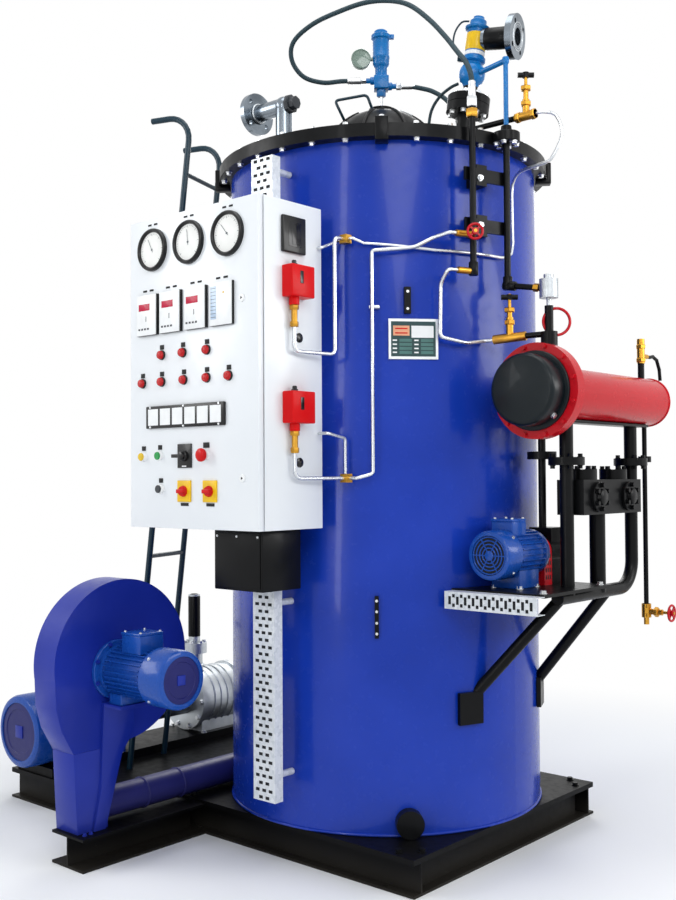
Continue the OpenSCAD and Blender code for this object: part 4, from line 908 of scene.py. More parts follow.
class Palette:
    """All finishes of the boiler, made once."""

    def __init__(self) -> None:
        """Makes the materials."""
        paint, metal, plastic = self._paint, self._metal, self._plastic
        self.skid = paint("skid_paint", "050506", roughness=0.38, coat=0.0, chips=0.02, dust=0.08, dust_top=0.08,
                          gloss=0.08)
        self.casing = paint("casing_enamel", "0a34a4", roughness=0.2, coat=0.14, fade=0.3, dust=0.03, gloss=0.18)
        self.machine = paint("machine_enamel", "142a94", roughness=0.28, coat=0.1, fade=0.35, dust=0.06,
                             gloss=0.18)
        self.azure = paint("valve_enamel", "036db2", roughness=0.24, coat=0.15, fade=0.35, dust=0.05)
        self.motor = paint("motor_enamel", "0c479f", roughness=0.24, coat=0.2, fade=0.35, dust=0.05)
        # A darker copy of the machine blue: painted shade on the air duct under the fan, its ribs and the recessed
        # cowl ends of the motors.
        self.deep = paint("painted_shade_enamel", "191c62", roughness=0.34, coat=0.05, fade=0.3, dust=0.1)
        self.black = paint("pipe_paint", "060709", roughness=0.3, coat=0.03, chips=0.01, gloss=0.12)
        self.teal = paint("teal_paint", "0d2d3b", roughness=0.32, coat=0.1, chips=0.02)
        self.red = paint("vessel_enamel", "c00c1c", roughness=0.2, coat=0.14, fade=0.25, gloss=0.16)
        self.white = paint("panel_enamel", "e9edf0", roughness=0.3, coat=0.2, fade=0.1, peel=0.0002, gloss=0.4)
        self.switch_red = paint("switch_enamel", "d40c10", roughness=0.28, coat=0.04, fade=0.2, gloss=0.1)
        self.cap_black = paint("cap_paint", "081318", roughness=0.32, coat=0.06, gloss=0.2)
        self.cast = metal("cast_metal", "c2c7cb", "7f858a", 0.34, 0.5, relief=0.0003)
        self.steel = metal("tube_steel", "d6dade", "9aa0a6", 0.2, 0.3)
        self.chrome = metal("dark_chrome", "868f98", "2e363d", 0.14, 0.6)
        self.zinc = metal("zinc_plate", "d9dcdf", "a09d94", 0.26, 0.4)
        self.brass = metal("brass", "cf9a3a", "8a5f22", 0.24, 0.5)
        self.aluminium = metal("plate_metal", "cfd3d6", "a7abae", 0.3, 0.2, grain=(1, 1, 14), grain_scale=90.0)
        self.galvanised = Galvanised("zinc_sheet").make()
        self.rubber = plastic("black_rubber", "101113", 0.55)
        self.bakelite = plastic("black_moulding", "0b0c0e", 0.26, 0.12)
        self.ivory = plastic("white_moulding", "f0f2f2", 0.35, 0.2, shade=0.94)
        self.card = plastic("dial_card", "f6f6f2", 0.5, shade=0.96)
        self.window = plastic("dark_window", "0c0e12", 0.16, 0.2)
        self.display = plastic("red_display", "bd0f3c", 0.2, 0.15, gloss=0.15)
        self.pale_blue = plastic("pale_strip", "b9cfe6", 0.25, 0.5)
        self.yellow = plastic("yellow_moulding", "f2c40f", 0.3, 0.15)
        self.knob_red = plastic("red_moulding", "cf1013", 0.3, 0.1, gloss=0.15)
        self.plate_dark = plastic("plate_ground", "2c4748", 0.4)
        self.plate_green = plastic("plate_field", "4d7671", 0.4)
        self.plate_orange = plastic("plate_header", "e9a884", 0.4)
        # Near-black painted shade for the inside of slots, holes and recesses.
        self.hole_shade = plastic("slot_shadow", "14161a", 0.7)
        self.dial_green = plastic("dial_glass", "7f9488", 0.15, 0.7)
        self.ink = plastic("dial_ink", "6c7278", 0.6)
        self.grey = plastic("grey_moulding", "34383d", 0.35, 0.2)
        self.lens_red, self.lens_green, self.lens_yellow = (
            Lens(name, srgb(code)).make() for name, code in (
                ("red_lens", "cc0a14"), ("green_lens", "18a04a"), ("yellow_lens", "f0c818")))
        self.braid = Braid("hose_braid", srgb("0b232b"), srgb("174350")).make()

    @staticmethod
    def _paint(name: str, code: str, **look: float) -> Material:
        """Makes a paint of that display colour."""
        return Enamel(name, srgb(code), **look).make()

    @staticmethod
    def _metal(name: str, code: str, tarnish: str, roughness: float, patches: float,
               **look: Union[float, Point]) -> Material:
        """Makes a metal of those display colours."""
        return Metal(name, srgb(code), srgb(tarnish), roughness, patches, **look).make()

    @staticmethod
    def _plastic(name: str, code: str, roughness: float, coat: float = 0.0, **look: float) -> Material:
        """Makes a moulding of that display colour."""
        return Moulding(name, srgb(code), roughness, coat, **look).make()

    def by_slot(self) -> dict[str, Material]:
        """Returns the finish of each material slot of the record."""
        return {"skid_black": self.skid, "casing_blue": self.casing, "machine_blue": self.machine,
                "pipe_black": self.black, "hose_black": self.rubber, "brass": self.brass, "red_paint": self.red,
                "tube_silver": self.steel, "plate_silver": self.aluminium, "panel_white": self.white,
                "instrument": self.bakelite, "switch_red": self.switch_red, "galvanised": self.galvanised,
                "cast_silver": self.cast}


@dataclass
class Assembly:
    """A group of pieces that shares the finishes and the node trees."""

    palette: Palette
    trees: Trees

    def skin(self, name: str, finish: Material, slot: str, node: str, edge: float = 0.003,
             body: Body = Body.BOILER, sharp: float = Piece.SHARP) -> None:
        """Replaces a node by a copy with rounded edges.

        Args:
            name: Name of the piece.
            finish: Its material.
            slot: Material slot of the record; handed on to the piece, which does not use it.
            node: The node.
            edge: Radius of its edges.
            body: Body that it rides on.
            sharp: Angle between faces, in degrees, past which an edge stays sharp.
        """
        Piece(name, finish, slot, body).copy(node, edge).close(node, sharp=sharp)


@dataclass
class ControlPanel(Assembly):
    """White switch cabinet with its door instruments and the fittings on its side."""

    left: float = -0.362
    right: float = 0.210
    low: float = 1.029
    top: float = 1.982
    face: float = -0.815
    gauge_r: float = 0.066
    gauge_v: float = 0.898
    unit_v: float = 0.687
    unit: Pair = (0.0480, 0.0630)
    lamp_r: float = 0.015
    switch_z: Pair = (1.7000, 1.3360)
    switch_y: float = -0.685
    gauges: tuple[Pair, ...] = ((0.196, 118.0), (0.490, 96.0), (0.788, 131.0))
    units: Row = (0.161, 0.353, 0.551, 0.748)
    signal: Pair = (0.4595, 0.354)
    lamp_rows: tuple[tuple[float, Row], ...] = (
        (0.553, (0.269, 0.441, 0.628)), (0.467, (0.108, 0.269, 0.448, 0.628, 0.792)))
    stop_button: Pair = (0.619, 0.229)
    selector: Pair = (0.455, 0.228)
    knobs: tuple[Pair, ...] = ((0.451, 0.1175), (0.650, 0.1175))
    locks: tuple[Pair, ...] = ((0.888, 0.696), (0.888, 0.157))

    def at(self, u: float, v: float) -> Matrix:
        """Returns the placement on the door at those shares of its width and height, +Z towards the viewer."""
        wide, high = self.right - self.left, self.top - self.low
        return aim((self.left + u * wide, self.face, self.low + v * high), FRONT)

    def on_door(self, name: str, finish: Material) -> Piece:
        """Starts a piece that rides on the door."""
        return Piece(name, finish, "instrument", Body.DOOR)

    def build(self) -> None:
        """Builds the whole cabinet."""
        self._cabinet()
        self._gauges()
        self._controllers()
        self._windows()
        self._buttons()
        self._side()

    def _cabinet(self) -> None:
        """Rounds the sheet edges of the box and door, and sets the lid of the box below."""
        p = self.palette
        self.skin("cabinet", p.white, "panel_white", "panel_box")
        self.skin("cabinet_door", p.white, "panel_white", "panel_door", body=Body.DOOR)
        self.skin("terminal_box", p.black, "pipe_black", "junction_box")
        low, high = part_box("junction_box")
        lid = Piece("terminal_box_lid", p.black, "pipe_black")
        lid.block((low.x + 0.008, low.y - 0.003, low.z + 0.008), (high.x - 0.008, low.y, high.z - 0.010), 0.001)
        lid.close()
        screws = Screws(self.trees)
        for x in (low.x + 0.016, low.x + 0.100, high.x - 0.016):
            screws.at((x, low.y - 0.003, high.z - 0.020), FRONT)
        screws.close("terminal_box_screws", p.zinc, "tube_silver", Head.LID)

    def _gauges(self) -> None:
        """Builds the three dial gauges with their marks and needles."""
        p = self.palette
        ring, dial = self.on_door("gauge_bezels", p.bakelite), self.on_door("gauge_dials", p.card)
        ink, tags = self.on_door("gauge_marks", p.ink), self.on_door("gauge_tags", p.rubber)
        r = self.gauge_r
        for u, reading in self.gauges:
            place = self.at(u, self.gauge_v)
            ring.lathe([(r, 0), (r, 0.006), (r - 0.001, 0.010), (r - 0.0035, 0.0132), (r - 0.006, 0.014),
                        (r - 0.009, 0.0128), (r - 0.0115, 0.009), (r - 0.0125, 0.004)], place, 64)
            dial.lathe([(r - 0.012, 0.003), (r - 0.012, 0.0052), (r - 0.0135, 0.0056)], place, 56)
            lift = place @ shift(0, 0, 0.0058)
            ink.take(self.trees.marks.grow(p.ink, Count=31, Radius=0.0480, Length=0.0035, Width=0.0006), lift)
            ink.take(self.trees.marks.grow(p.ink, Count=7, Radius=0.0465, Length=0.0065, Width=0.0011), lift)
            ink.block((-0.009, -0.0006, 0.0006), (0.038, 0.0006, 0.0012), 0.0, lift @ turned(reading))
            ink.lathe([(0.0032, 0.0), (0.0032, 0.0016), (0.0024, 0.0022)], lift, 16)
            for x in (-0.016, 0.012):
                tags.block((x - 0.008, r + 0.010, 0), (x + 0.008, r + 0.0155, 0.0012), 0.0003, place)
        ring.close("panel_gauges")
        dial.close()
        ink.close()
        tags.close()

    def _controllers(self) -> None:
        """Builds the three controllers and the recorder beside them."""
        p = self.palette
        w, h = self.unit
        body, front = self.on_door("controller_bodies", p.bakelite), self.on_door("controller_fronts", p.ivory)
        glow, key = self.on_door("controller_displays", p.display), self.on_door("controller_keys", p.grey)
        strip, dot = self.on_door("controller_strip", p.pale_blue), self.on_door("controller_dot", p.lens_yellow)
        tags = self.on_door("controller_tags", p.rubber)
        for k, u in enumerate(self.units):
            place = self.at(u, self.unit_v)
            body.block((-w, -h, 0), (w, h, 0.0095), 0.001, place)
            # On the first three the ivory front stops short at the right, so a strip of the black body shows there
            # as a painted shadow.
            right_shadow_gap = 0.003 if k < 3 else 0.0005
            front.block((-w + 0.0005, -h + 0.0005, 0.0092), (w - right_shadow_gap, h - 0.0005, 0.012), 0.0012, place)
            if k < 3:
                glow.block((-0.037, 0.014, 0.0116), (0.016, 0.035, 0.0124), 0.0004, place)
                for x in (-0.034, -0.020, -0.006, 0.008):
                    key.block((x - 0.0045, -0.046, 0.0116), (x + 0.0045, -0.040, 0.0128), 0.0006, place)
                key.block((-0.003, -0.020, 0.0116), (0.0, -0.004, 0.0123), 0.0002, place)
            else:
                strip.block((-0.041, -0.044, 0.0116), (-0.017, 0.052, 0.0124), 0.0004, place)
                key.grid(self.trees, place @ shift(-0.029, 0.004, 0.0125), (1, 9), (0.0, 0.0105),
                         (0.022, 0.0012, 0.0006))
                dot.lathe([(0.0032, 0.0116), (0.0032, 0.0126), (0.002, 0.0131)],
                          place @ shift(0.014, 0.031, 0), 14)
            for x in (-0.020, 0.012):
                tags.block((x - 0.009, h + 0.011, 0), (x + 0.009, h + 0.017, 0.0012), 0.0003, place)
        body.close("panel_controllers")
        for piece in (front, glow, key, strip, dot, tags):
            piece.close()

    def _windows(self) -> None:
        """Builds the row of signal windows in its black frame."""
        p = self.palette
        place = self.at(*self.signal)
        rim, pane = self.on_door("signal_frame", p.bakelite), self.on_door("signal_windows", p.ivory)
        rim.block((-0.177, -0.0343, 0), (0.177, 0.0343, 0.0095), 0.003, place).close()
        pane.grid(self.trees, place @ shift(0, 0, 0.0092), (6, 1), (0.0565, 0.0), (0.0470, 0.0500, 0.0020)).close()
        screws = Screws(self.trees)
        for x in (-0.155, 0.0, 0.155):
            for z in (-0.0300, 0.0300):
                screws.at(place @ Vector((x, z, 0.0095)), FRONT)
        screws.close("signal_screws", p.zinc, "instrument", Head.SIGNAL, Body.DOOR)

    def _buttons(self) -> None:
        """Builds the lamps, push buttons, rotary switches and door locks."""
        p, r = self.palette, self.lamp_r
        holder, tag = self.on_door("lamp_holders", p.bakelite), self.on_door("lamp_tags", p.rubber)
        pale = self.on_door("button_rings", p.ivory)
        lens = {m: self.on_door(name, m) for m, name in (
            (p.lens_red, "red_lamps"), (p.lens_yellow, "yellow_button"), (p.lens_green, "green_button"),
            (p.knob_red, "red_knobs"), (p.grey, "black_button"), (p.yellow, "yellow_plates"))}
        cap = [(r - 0.002, 0.004), (r - 0.002, 0.0105), (r - 0.0035, 0.0138), (r - 0.007, 0.0158),
               (r - 0.012, 0.0164)]
        for place in (self.at(u, v) for v, row in self.lamp_rows for u in row):
            holder.lathe([(r, 0), (r, 0.0045), (r - 0.001, 0.006)], place, 28)
            lens[p.lens_red].lathe(cap, place, 24)
            tag.block((-0.009, r + 0.002, 0), (0.009, r + 0.016, 0.002), 0.0006, place)
        for u, v, finish in ((0.115, 0.228, p.lens_yellow), (0.252, 0.230, p.lens_green), (0.259, 0.124, p.grey)):
            place = self.at(u, v)
            pale.lathe([(r, 0), (r, 0.009), (r - 0.0015, 0.011)], place, 28)
            lens[finish].lathe([(r - 0.003, 0.008), (r - 0.003, 0.0148), (r - 0.0045, 0.0162)], place, 24)
            tag.block((-0.009, r + 0.004, 0), (0.009, r + 0.018, 0.002), 0.0006, place)
        place = self.at(*self.stop_button)
        pale.lathe([(r, 0), (r, 0.008), (r - 0.004, 0.010), (r - 0.005, 0.016)], place, 28)
        lens[p.knob_red].lathe([(0.009, 0.012), (0.019, 0.0165), (0.020, 0.020), (0.0195, 0.025), (0.017, 0.028),
                                (0.011, 0.0297), (0.003, 0.030)], place, 36)
        tag.block((-0.012, 0.021, 0), (0.014, 0.037, 0.002), 0.0006, place)
        place = self.at(*self.selector)
        holder.block((-0.031, -0.036, 0), (0.031, 0.036, 0.005), 0.0015, place)
        holder.lathe([(0.0165, 0.004), (0.0165, 0.010), (0.0150, 0.0125), (0.0130, 0.014), (0.0125, 0.021),
                      (0.011, 0.022)], place, 32)
        holder.block((-0.041, -0.0055, 0.013), (0.010, 0.0055, 0.0218), 0.002, place)
        pale.block((-0.010, -0.0325, 0.0046), (0.010, -0.0290, 0.0054), 0.0002, place)
        for place in (self.at(*spot) for spot in self.knobs):
            lens[p.yellow].block((-0.030, -0.032, 0), (0.030, 0.032, 0.005), 0.0015, place)
            lens[p.knob_red].lathe([(0.0165, 0.0045), (0.0165, 0.010), (0.0148, 0.012), (0.014, 0.0155)],
                                   place, 12)
            lens[p.knob_red].block((-0.0165, -0.006, 0.012), (0.0165, 0.006, 0.022), 0.002, place)
            tag.block((-0.017, -0.044, 0), (0.017, -0.035, 0.002), 0.0006, place)
        for place in (self.at(*spot) for spot in self.locks):
            pale.lathe([(0.012, 0), (0.012, 0.003), (0.0105, 0.0045)], place, 28)
            holder.lathe([(0.005, 0.004), (0.005, 0.0052), (0.0042, 0.0056)], place, 3)
        holder.close("panel_buttons")
        for piece in (tag, pale, *lens.values()):
            piece.close()

    def _side(self) -> None:
        """Builds the side instrument, the two pressure switches and the cable grommets."""
        p = self.palette
        low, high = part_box("side_recorder")
        case = Piece("side_instrument", p.bakelite, "instrument")
        case.block(low, high, 0.004).close("side_recorder")
        pane = Piece("side_instrument_window", p.window, "instrument")
        for sunk, proud, side, end in ((0.001, 0.0006, 0.022, 0.018), (0.0, 0.0014, 0.036, 0.024)):
            pane.block((high.x - sunk, low.y + side, low.z + end),
                       (high.x + proud, high.y - side, high.z - end), 0.0005)
        pane.close()
        box_piece = Piece("switch_boxes", p.switch_red, "switch_red")
        dark, nut = Piece("switch_windows", p.window, "instrument"), Piece("switch_nuts", p.brass, "brass")
        x, y, front = self.right + 0.0165, self.switch_y, self.right + 0.043
        for z in self.switch_z:
            box_piece.block((self.right, y - 0.035, z), (front, y + 0.060, z + 0.092), 0.0035)
            here = shift(x, y, z)
            box_piece.lathe([(0.015, -0.022), (0.015, -0.004), (0.014, 0.002)], here, 32)
            dark.block((front - 0.001, y - 0.002, 0.038 + z), (front + 0.0006, y + 0.012, z + 0.074), 0.0004)
            dark.lathe([(0.010, 0.090), (0.010, 0.098), (0.007, 0.099), (0.007, 0.106), (0.005, 0.108)], here, 18)
            nut.lathe([(0.0125, -0.036), (0.014, -0.034), (0.014, -0.024), (0.0125, -0.0222)], here, 6)
            nut.lathe([(0.0115, -0.0855), (0.0128, -0.084), (0.0128, -0.072), (0.0115, -0.070)], here, 6)
            dark.lathe([(0.014, 0.0), (0.014, 0.003), (0.011, 0.0045)],
                       aim((self.right, y + 0.036, z - 0.113), RIGHT), 28)
        box_piece.close("pressure_switches")
        dark.close()
        nut.close()


@dataclass
class Hose:
    """Braided hose that runs from one fitting of the boiler to another."""

    name: str
    node: str
    points: list[Vector]
    radius: float
    finish: Material
    sides: int = 16

    def build(self) -> Object:
        work = bmesh.new()
        layer = work.loops.layers.uv.new("UVMap")
        side = self.points[0].orthogonal().normalized()
        rings, run, length = [], [0.0], 0.0
        for k, spot in enumerate(self.points):
            ahead = (self.points[min(k + 1, len(self.points) - 1)] - self.points[max(k - 1, 0)]).normalized()
            side = (side - side.dot(ahead) * ahead).normalized()
            up = ahead.cross(side)
            turns = [2 * math.pi * j / self.sides for j in range(self.sides)]
            rings.append([work.verts.new(spot + self.radius * (math.cos(t) * side + math.sin(t) * up))
                          for t in turns])
            if k:
                length += (spot - self.points[k - 1]).length
                run.append(length)
        for k in range(len(rings) - 1):
            for j in range(self.sides):
                m = (j + 1) % self.sides
                face = work.faces.new((rings[k][j], rings[k][m], rings[k + 1][m], rings[k + 1][j]))
                face.smooth = True
                for loop, spot in zip(face.loops, ((j, k), (j + 1, k), (j + 1, k + 1), (j, k + 1))):
                    loop[layer].uv = (spot[0] / self.sides, run[spot[1]])
        work.faces.new(rings[0][::-1])
        work.faces.new(rings[-1])
        bmesh.ops.recalc_face_normals(work, faces=work.faces)
        mesh = bpy.data.meshes.new(self.name)
        work.to_mesh(mesh)
        work.free()
        mesh.materials.append(self.finish)
        made = stand(self.name, mesh)
        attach(made, Body.BOILER.value)
        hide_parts(self.node)
        2 * self.radius
        LOG.info("%s: %.3f m", self.name, length)
        return made


@dataclass
class BurnerHead(Assembly):
    """Burner dome, burner unit with its dial, and the hoses that join it to the pipes."""

    lean: float = 41.4
    cover: float = 2.240
    boss: float = 2.470
    block_z: float = 2.539
    neck_z: float = 2.585
    barrel_z: float = 2.628
    cap_z: float = 2.720
    barrel_r: float = 0.029
    port_step: float = 0.0723
    hose_r: float = 0.008
    thin_r: float = 0.005
    pipe: Pair = (0.54147, -0.23432)
    dome_r: float = 0.215
    dome_lift: float = 0.007
    ribs: int = 8

    def build(self) -> None:
        """Builds the whole head."""
        self._hoses()
        self._unit()
        self._dome()

    def _routes(self) -> tuple[list[Vector], list[Vector], list[Vector]]:
        """Returns the centre lines of the oil, return and valve hoses."""
        port, over = polar(1.0, self.lean, 0), UP * self.cover
        first = UP * (self.neck_z - 0.013) - self.port_step * port
        end = Vector((*self.pipe, self.cover + 0.100))
        oil = [first, first - 0.025 * port] + [over + Vector(q) / 1000 for q in (
            (-106, -93, 331.5), (-150, -140, 325), (-191, -195, 341), (-207, -236, 390), (-182, -254, 444),
            (-98, -245, 486), (10, -218, 510), (100, -200, 516), (185, -184, 502), (265, -180, 465),
            (345, -184, 395), (415, -193, 318), (472, -210, 250), (512, -225, 205), (534, -232, 165))]
        oil += [end + UP * 0.032, end]
        first = UP * (self.block_z + 0.013) + self.port_step * port
        back = [first, first + 0.025 * port] + [over + Vector(q) / 1000 for q in (
            (110, 86, 302), (150, 104, 285), (200, 116, 245), (235, 122, 185), (245, 122, 115), (245, 122, 30))]
        thin = [over + Vector(q) / 1000 for q in (
            (264, -80, 30), (264, -79, 90), (274, -76, 145), (304, -72, 184), (345, -68, 206), (374, -66, 212))]
        return oil, back, thin

    def _hoses(self) -> None:
        """Builds the three hoses with their pressed ferrules."""
        p = self.palette
        oil, back, thin = self._routes()
        ferrule, nut = Piece("hose_ferrules", p.zinc, "tube_silver"), Piece("hose_nuts", p.steel, "tube_silver")
        brass = Piece("hose_brass", p.brass, "brass")
        r = self.hose_r
        sleeve = [(r + 0.0022, 0.0), (r + 0.0034, 0.002), (r + 0.0034, 0.036), (r + 0.0024, 0.040),
                  (r + 0.0034, 0.044), (r + 0.0022, 0.048)]
        for route in (oil, back):
            place = aim(route[0], route[1] - route[0])
            nut.collar(0.0125, -0.020, -0.002, 0.0015, place)
            ferrule.lathe([(q, z - 0.002) for q, z in sleeve], place, 24)
        end = shift(*self.pipe, self.cover)
        brass.collar(0.0190, 0.024, 0.049, 0.0025, end, step=0.003)
        ferrule.collar(0.0165, 0.056, 0.087, 0.0015, end, step=0.003)
        ferrule.lathe([(q, z + 0.086) for q, z in sleeve], end, 24)
        for foot, size in ((back[-1], r), (thin[0], self.thin_r)):
            nut.collar(size + 0.006, -0.002, 0.014, 0.002, shift(*foot))
            ferrule.collar(size + 0.003, 0.012, 0.042, 0.001, shift(*foot), 20)
        for node, route, radius in (("oil_hose", oil, r), ("return_hose", back, r),
                                    ("valve_hose", thin, self.thin_r)):
            Hose(node + "_braid", node, curve_through(route, 6), radius, p.braid).build()
        for piece in (ferrule, nut, brass):
            piece.close()

    def _unit(self) -> None:
        """Builds the burner unit and the dial at its side."""
        p = self.palette
        turn, block, neck, barrel, cap = turned(self.lean), self.block_z, self.neck_z, self.barrel_z, self.cap_z
        body, r = Piece("burner_body", p.azure, "machine_blue"), self.barrel_r
        body.lathe([(0.014, block - 0.024), (0.016, block - 0.021), (0.016, block + 0.001)], turn, 6)
        body.block((-0.026, -0.026, block), (0.026, 0.026, neck), 0.003, turn)
        body.lathe([(0.0235, neck - 0.002), (0.0235, neck + 0.006), (0.021, neck + 0.008), (0.021, barrel - 0.012),
                    (0.024, barrel - 0.008), (r - 0.001, barrel - 0.002), (r, barrel + 0.002), (r, barrel + 0.020),
                    (r + 0.0015, barrel + 0.022), (r + 0.0015, barrel + 0.028), (r, barrel + 0.030),
                    (r, cap - 0.004), (0.034, cap), (0.034, cap + 0.012), (0.031, cap + 0.015),
                    (0.0245, cap + 0.016), (0.0235, cap + 0.026), (0.020, cap + 0.029)], turn, 44)
        body.block((0.028, -0.008, cap), (0.046, 0.008, cap + 0.015), 0.002, turn)
        for side, z in ((-1, neck - 0.013), (1, block + 0.013)):
            body.lathe([(0.0135, 0.0), (0.0135, 0.012), (0.009, 0.014), (0.009, self.port_step - 0.0265)],
                       turn @ aim((side * 0.0255, 0, z), (side, 0, 0)), 24)
        body.close("burner_unit")
        rod = Piece("burner_rod", p.steel, "tube_silver")
        rod.lathe([(0.006, self.boss), (0.006, block - 0.022)], sides=20)
        rod.lathe([(0.012, self.boss), (0.012, self.boss + 0.010), (0.009, self.boss + 0.013)], sides=6).close()
        low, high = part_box("burner_dial")
        z, x = (low.z + high.z) / 2, -r - 0.0004 - 0.035 - 0.006
        dial = turn @ aim((x, 0, z), FRONT)
        case = Piece("dial_case", p.dial_green, "plate_silver")
        case.lathe([(0.031, -0.014), (0.034, -0.012), (0.035, -0.008), (0.035, 0.010), (0.0335, 0.0135),
                    (0.030, 0.014), (0.0295, 0.011)], dial, 48)
        case.lathe([(0.007, 0.0), (0.007, 0.012)], turn @ aim((-r - 0.0125, 0, z), RIGHT), 18).close("burner_dial")
        face = Piece("dial_glass", p.dial_green, "plate_silver")
        face.lathe([(0.0296, 0.010), (0.0296, 0.0118), (0.028, 0.0122)], dial, 44)
        face.lathe([(0.0296, -0.0135), (0.0296, -0.0146), (0.027, -0.0152)][::-1], dial, 44).close()

    def _dome(self) -> None:
        """Lays ribs, a strap and bolts on the dome, and paints its handle."""
        p = self.palette
        rib, strap = Piece("dome_ribs", p.black, "pipe_black"), Piece("dome_strap", p.ivory, "tube_silver")
        centre = UP * (self.cover + self.dome_lift)
        for k in range(self.ribs):
            way = polar(1.0, 360 * k / self.ribs + 20, 0)
            rib.wire(self.trees, [centre + (self.dome_r + 0.001) * (way * math.cos(e) + UP * math.sin(e))
                                  for e in map(math.radians, range(10, 74, 8))], 0.006, 0.02)
        strap.wire(self.trees, [
            centre + (self.dome_r + 0.004) * polar(math.sin(t), math.degrees(q), math.cos(t))
            for t, q in ((0.55, 0.30), (0.50, 0.25), (0.45, 0.22), (0.40, 0.20), (0.35, 0.20))], 0.004, 0.008)
        strap.close()
        top = self.boss
        rib.lathe([(0.052, top - 0.020), (0.052, top - 0.012), (0.044, top - 0.008), (0.044, top)]).close()
        screws = Screws(self.trees).circle(shift(0, 0, self.cover + 0.016), 0.229, 12, 15.0)
        screws.close("dome_bolts", p.zinc, "tube_silver")
        self.skin("dome_wire", p.teal, "pipe_black", "dome_handle", 0.0)


@dataclass
class SafetyValve(Assembly):
    """Leaning safety valve with its flanged outlet and lifting lever."""

    base: Point = (0.405, -0.085, 2.240)
    lean: float = 7.5
    lean_a: float = 41.4
    flange: tuple[float, float, float] = (0.101, 0.128, 0.155)
    flange_r: float = 0.068
    outlet_h: float = 0.343
    reach: float = 0.140
    turn: float = 13.0

    def build(self) -> None:
        """Builds the valve."""
        p = self.palette
        tilt = math.radians(self.lean)
        here = aim(self.base, polar(math.sin(tilt), self.lean_a, math.cos(tilt)))
        body = Piece("valve_body", p.azure, "machine_blue")
        low = self.flange[1]
        foot = Piece("valve_foot", p.black, "pipe_black")
        foot.lathe([(0.066, low), (self.flange_r, low + 0.002), (self.flange_r, low + 0.025), (0.066, low + 0.027),
                    (0.030, low + 0.028), (0.024, low + 0.036), (0.023, low + 0.064)], here, 56).close()
        body.lathe([(r, low + h) for r, h in (
            (0.0225, 0.060), (0.028, 0.072), (0.036, 0.078), (0.041, 0.090), (0.042, 0.104), (0.040, 0.118),
            (0.034, 0.128), (0.028, 0.133), (0.027, 0.140), (0.035, 0.142), (0.037, 0.144), (0.037, 0.154),
            (0.033, 0.156), (0.032, 0.160), (0.032, 0.244), (0.038, 0.246), (0.040, 0.249), (0.040, 0.254),
            (0.037, 0.256), (0.030, 0.259), (0.027, 0.266), (0.0265, 0.276), (0.021, 0.281), (0.018, 0.284),
            (0.0175, 0.289))], here, 56).close("safety_valve")
        band, ring = Piece("chamber_band", p.yellow, "brass"), Piece("chamber_ring", p.ivory, "tube_silver")
        band.collar(0.0326, low + 0.176, low + 0.234, 0.0008, here, 48).close()
        ring.collar(0.0328, low + 0.160, low + 0.173, 0.0010, here, 48, 0.001).close()
        bolts = Screws(self.trees)
        for face, way in ((self.flange[2], Matrix()), (self.flange[0], HEAD_DOWN)):
            bolts.circle(here @ shift(0, 0, face) @ way, 0.054, 8, 22.5)
        bolts.close("valve_bolts", p.zinc, "tube_silver", Head.VALVE)
        out = here @ turned(self.turn) @ aim((0, 0, self.outlet_h), RIGHT)
        Piece("outlet_paint", p.black, "pipe_black").lathe(
            [(0.0340, 0.036), (0.0347, 0.037), (0.0347, 0.1185), (0.0340, 0.1196)], out, 48).close()
        face = out @ shift(0, 0, self.reach)
        Piece("outlet_rings", p.cast, "cast_silver").torus(0.043, 0.0018, face).torus(0.036, 0.0012, face).close()
        lever = [here @ Vector((x, y, low + h)) for x, y, h in (
            (-0.020, -0.022, 0.272), (-0.040, -0.034, 0.268), (-0.055, -0.042, 0.240), (-0.058, -0.044, 0.205),
            (-0.050, -0.040, 0.178), (-0.034, -0.028, 0.163))]
        arm = Piece("lift_lever", p.teal, "pipe_black").wire(self.trees, curve_through(lever, 5), 0.003, 0.006)
        arm.lathe([(0.010, 0.0), (0.012, 0.002), (0.012, 0.016), (0.009, 0.019)],
                  here @ aim((-0.026, -0.022, low + 0.150), (-0.77, -0.64, 0)), 6).close()


@dataclass
class SteamOutlet(Assembly):
    """Polished outlet tee with its flange."""

    centre: Point = (-0.316, -0.165, 2.514)
    face: float = -0.466
    foot_z: float = 2.245

    def build(self) -> None:
        """Adds the plug, the flange rings and the foot of the tee."""
        p = self.palette
        plug = Piece("outlet_plug", p.grey, "cast_silver")
        start = Vector(self.centre) + Vector((0.026, 0, 0))
        plug.lathe([(0.031, 0.0), (0.034, 0.002), (0.034, 0.012), (0.031, 0.014), (0.024, 0.015), (0.024, 0.034),
                    (0.022, 0.036)], aim(start, RIGHT), 8).close()
        ring = Piece("outlet_face_rings", p.cast, "cast_silver")
        front = aim((self.face, self.centre[1], self.centre[2]), LEFT)
        ring.torus(0.040, 0.0018, front).torus(0.032, 0.0012, front)
        ring.torus(0.033, 0.004, front @ shift(0, 0, -0.0245))
        ring.torus(0.0315, 0.004, shift(self.centre[0], self.centre[1], self.foot_z)).close()


